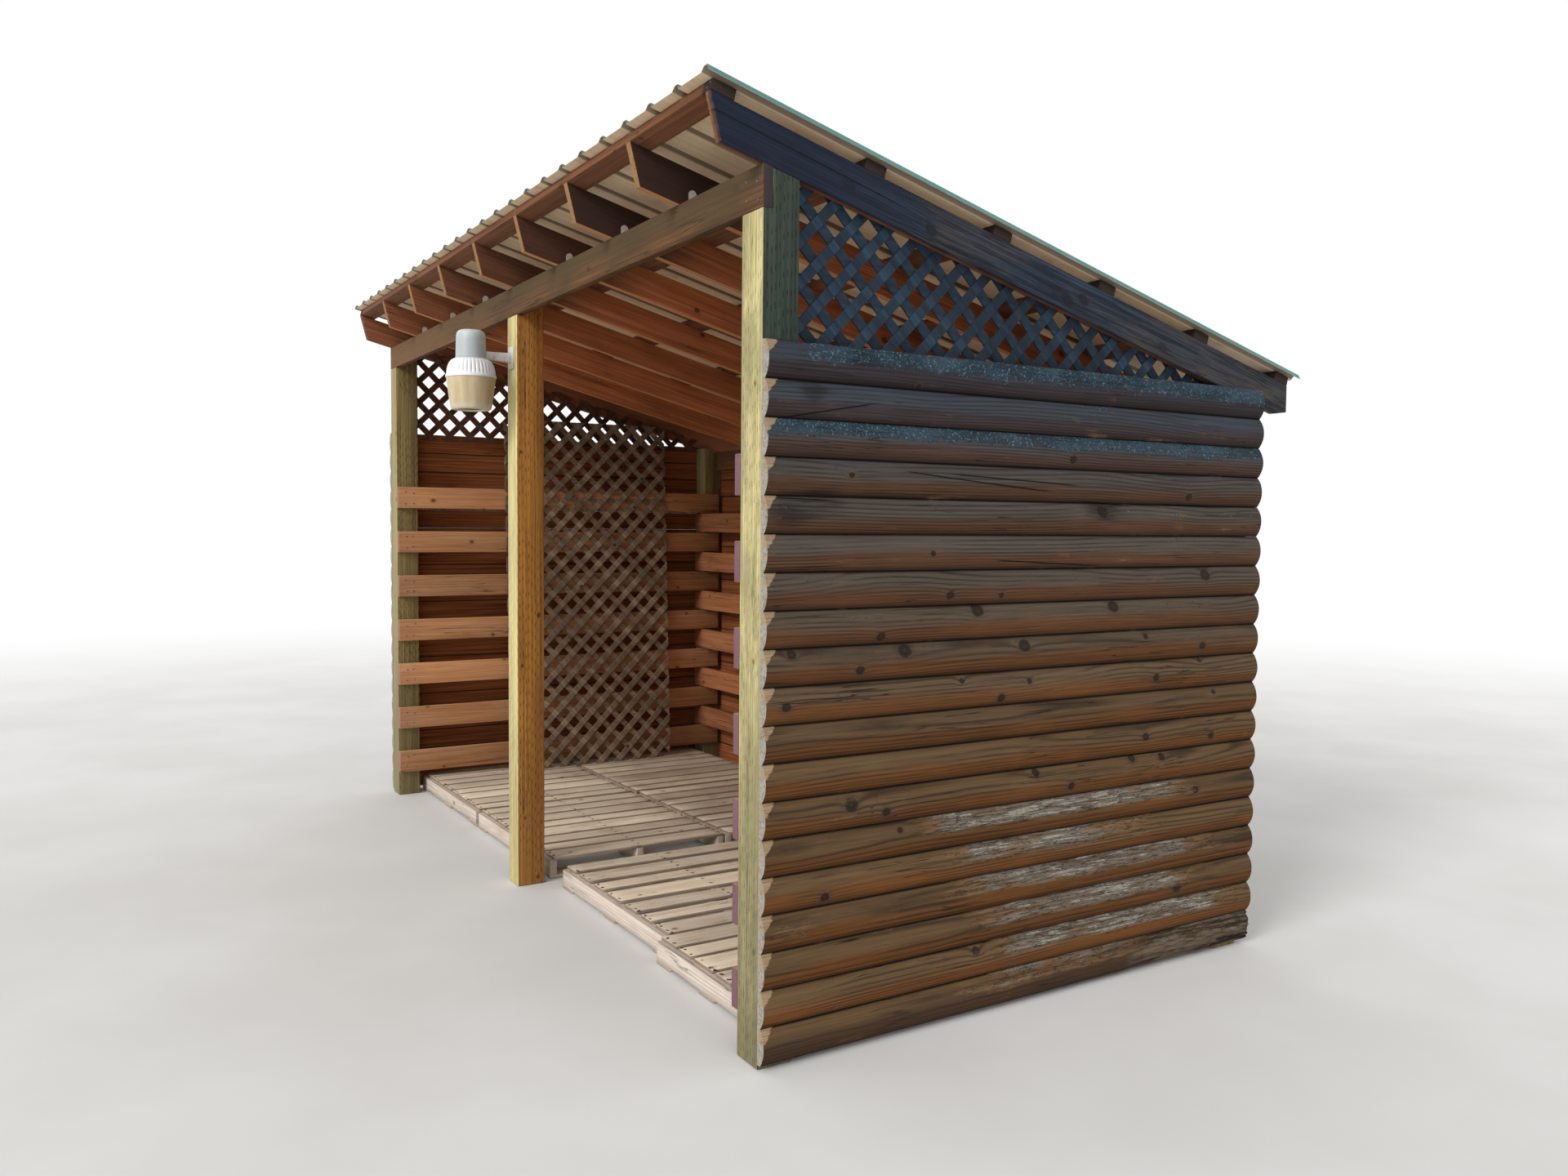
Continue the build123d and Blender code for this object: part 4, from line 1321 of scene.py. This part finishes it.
roofPlan = {"start": -0.201, "step": 0.57698, "shifts": (0, 0.033, 0.05, 0.034, 0.028, 0),
            "rafterHigh": 0.14, "purlinMiddle": 0.0445, "sheetTop": 0.0402}
slope = math.atan(roofFall)


def roofSpot(x, down, above):
    # a place on the roof: along the shed, down the slope and above the purlins' foot
    return (x, frontY + down * math.cos(slope) + above * math.sin(slope),
            roofFront + roofPlan["rafterHigh"] / math.cos(slope) - down * math.sin(slope) + above * math.cos(slope))


screws = []
for number, shift in enumerate(roofPlan["shifts"]):
    down = roofPlan["start"] + number * roofPlan["step"] + shift + roofPlan["purlinMiddle"]
    for i in range(sheetPlan["ribs"] - 1):
        x = -sheetPlan["half"] + i * sheetPlan["pitch"] + sheetPlan["rib"] + 0.035 + wobble(0.004)
        spot = roofSpot(x, down + wobble(0.008), roofPlan["sheetTop"])
        screws.append((spot, (0, math.sin(slope), math.cos(slope)), 0.0075))
stampHeads("roof_screws", screws, 12, 0.75, zinc)

nailPlan = {"halfWidth": 2.4385, "depth": 2.438, "post": 0.14, "board": 0.038, "beamRows": (2.875, 2.935),
            "boards": 7, "boardTop": 2.059, "boardStep": 0.2935}
nails = []
corner = nailPlan["halfWidth"]
for x in (-corner + 0.035, -corner + 0.105, -0.035, 0.035, corner - 0.105, corner - 0.035):
    for z in nailPlan["beamRows"]:
        nails.append(((x + wobble(0.006), frontY - 0.0001, z + wobble(0.012)), (0, -1, 0), 0.004))
for number in range(1, 10):
    low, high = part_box("rafter_%d" % number)
    for share in (0.3, 0.7):
        x = (low.x + high.x) / 2 + (share - 0.5) * 0.03
        spot = roofSpot(x, roofPlan["start"], 0.038 * share)
        nails.append((spot, (0, -math.cos(slope), math.sin(slope)), 0.0036))
for side in (-1, 1):
    inner = side * (corner - nailPlan["post"] - nailPlan["board"])
    for i in range(nailPlan["boards"]):
        for back in (0.045, 0.095, nailPlan["depth"] - 0.11, nailPlan["depth"] - 0.06):
            for rise in (0.035, 0.105):
                z = nailPlan["boardTop"] - i * nailPlan["boardStep"] - rise
                nails.append(((inner - side * 0.0001, frontY + back + wobble(0.008), z + wobble(0.008)),
                              (-side, 0, 0), 0.0042))
stampHeads("frame_nails", nails, 8, 0.55, rustPaint("nailSteel", (0.24, 0.22, 0.2), (0.1, 0.06, 0.045)))

deckNails = []
for number in range(1, 5):
    name = "front_pallet_%d" % number
    low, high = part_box(name)
    deck = bpy.data.objects[name + "_timber"]
    board = readValues(deck, "board")
    spans = {}
    for vertex in deck.data.vertices:
        if vertex.co.z > palletPlan["deckFrom"] + 0.002:
            span = spans.setdefault(board[vertex.index], [9.0, -9.0])
            span[0], span[1] = min(span[0], vertex.co.x), max(span[1], vertex.co.x)
    for start, end in spans.values():
        for back in (0.034, (high.y - low.y) / 2, high.y - low.y - 0.02):
            for share in (0.24, 0.76):
                x = start + (end - start) * share + wobble(0.008)
                deckNails.append(((x, low.y + back + wobble(0.006), high.z - 0.0022), (0, 0, 1), 0.0046))
stampHeads("deck_nails", deckNails, 8, 0.5, rustPaint("deckNailRust", (0.2, 0.13, 0.09), (0.09, 0.05, 0.03)))
report("ties, screws and nails")

for other in list(bpy.data.objects):
    other.select_set(False)
bpy.context.view_layer.update()
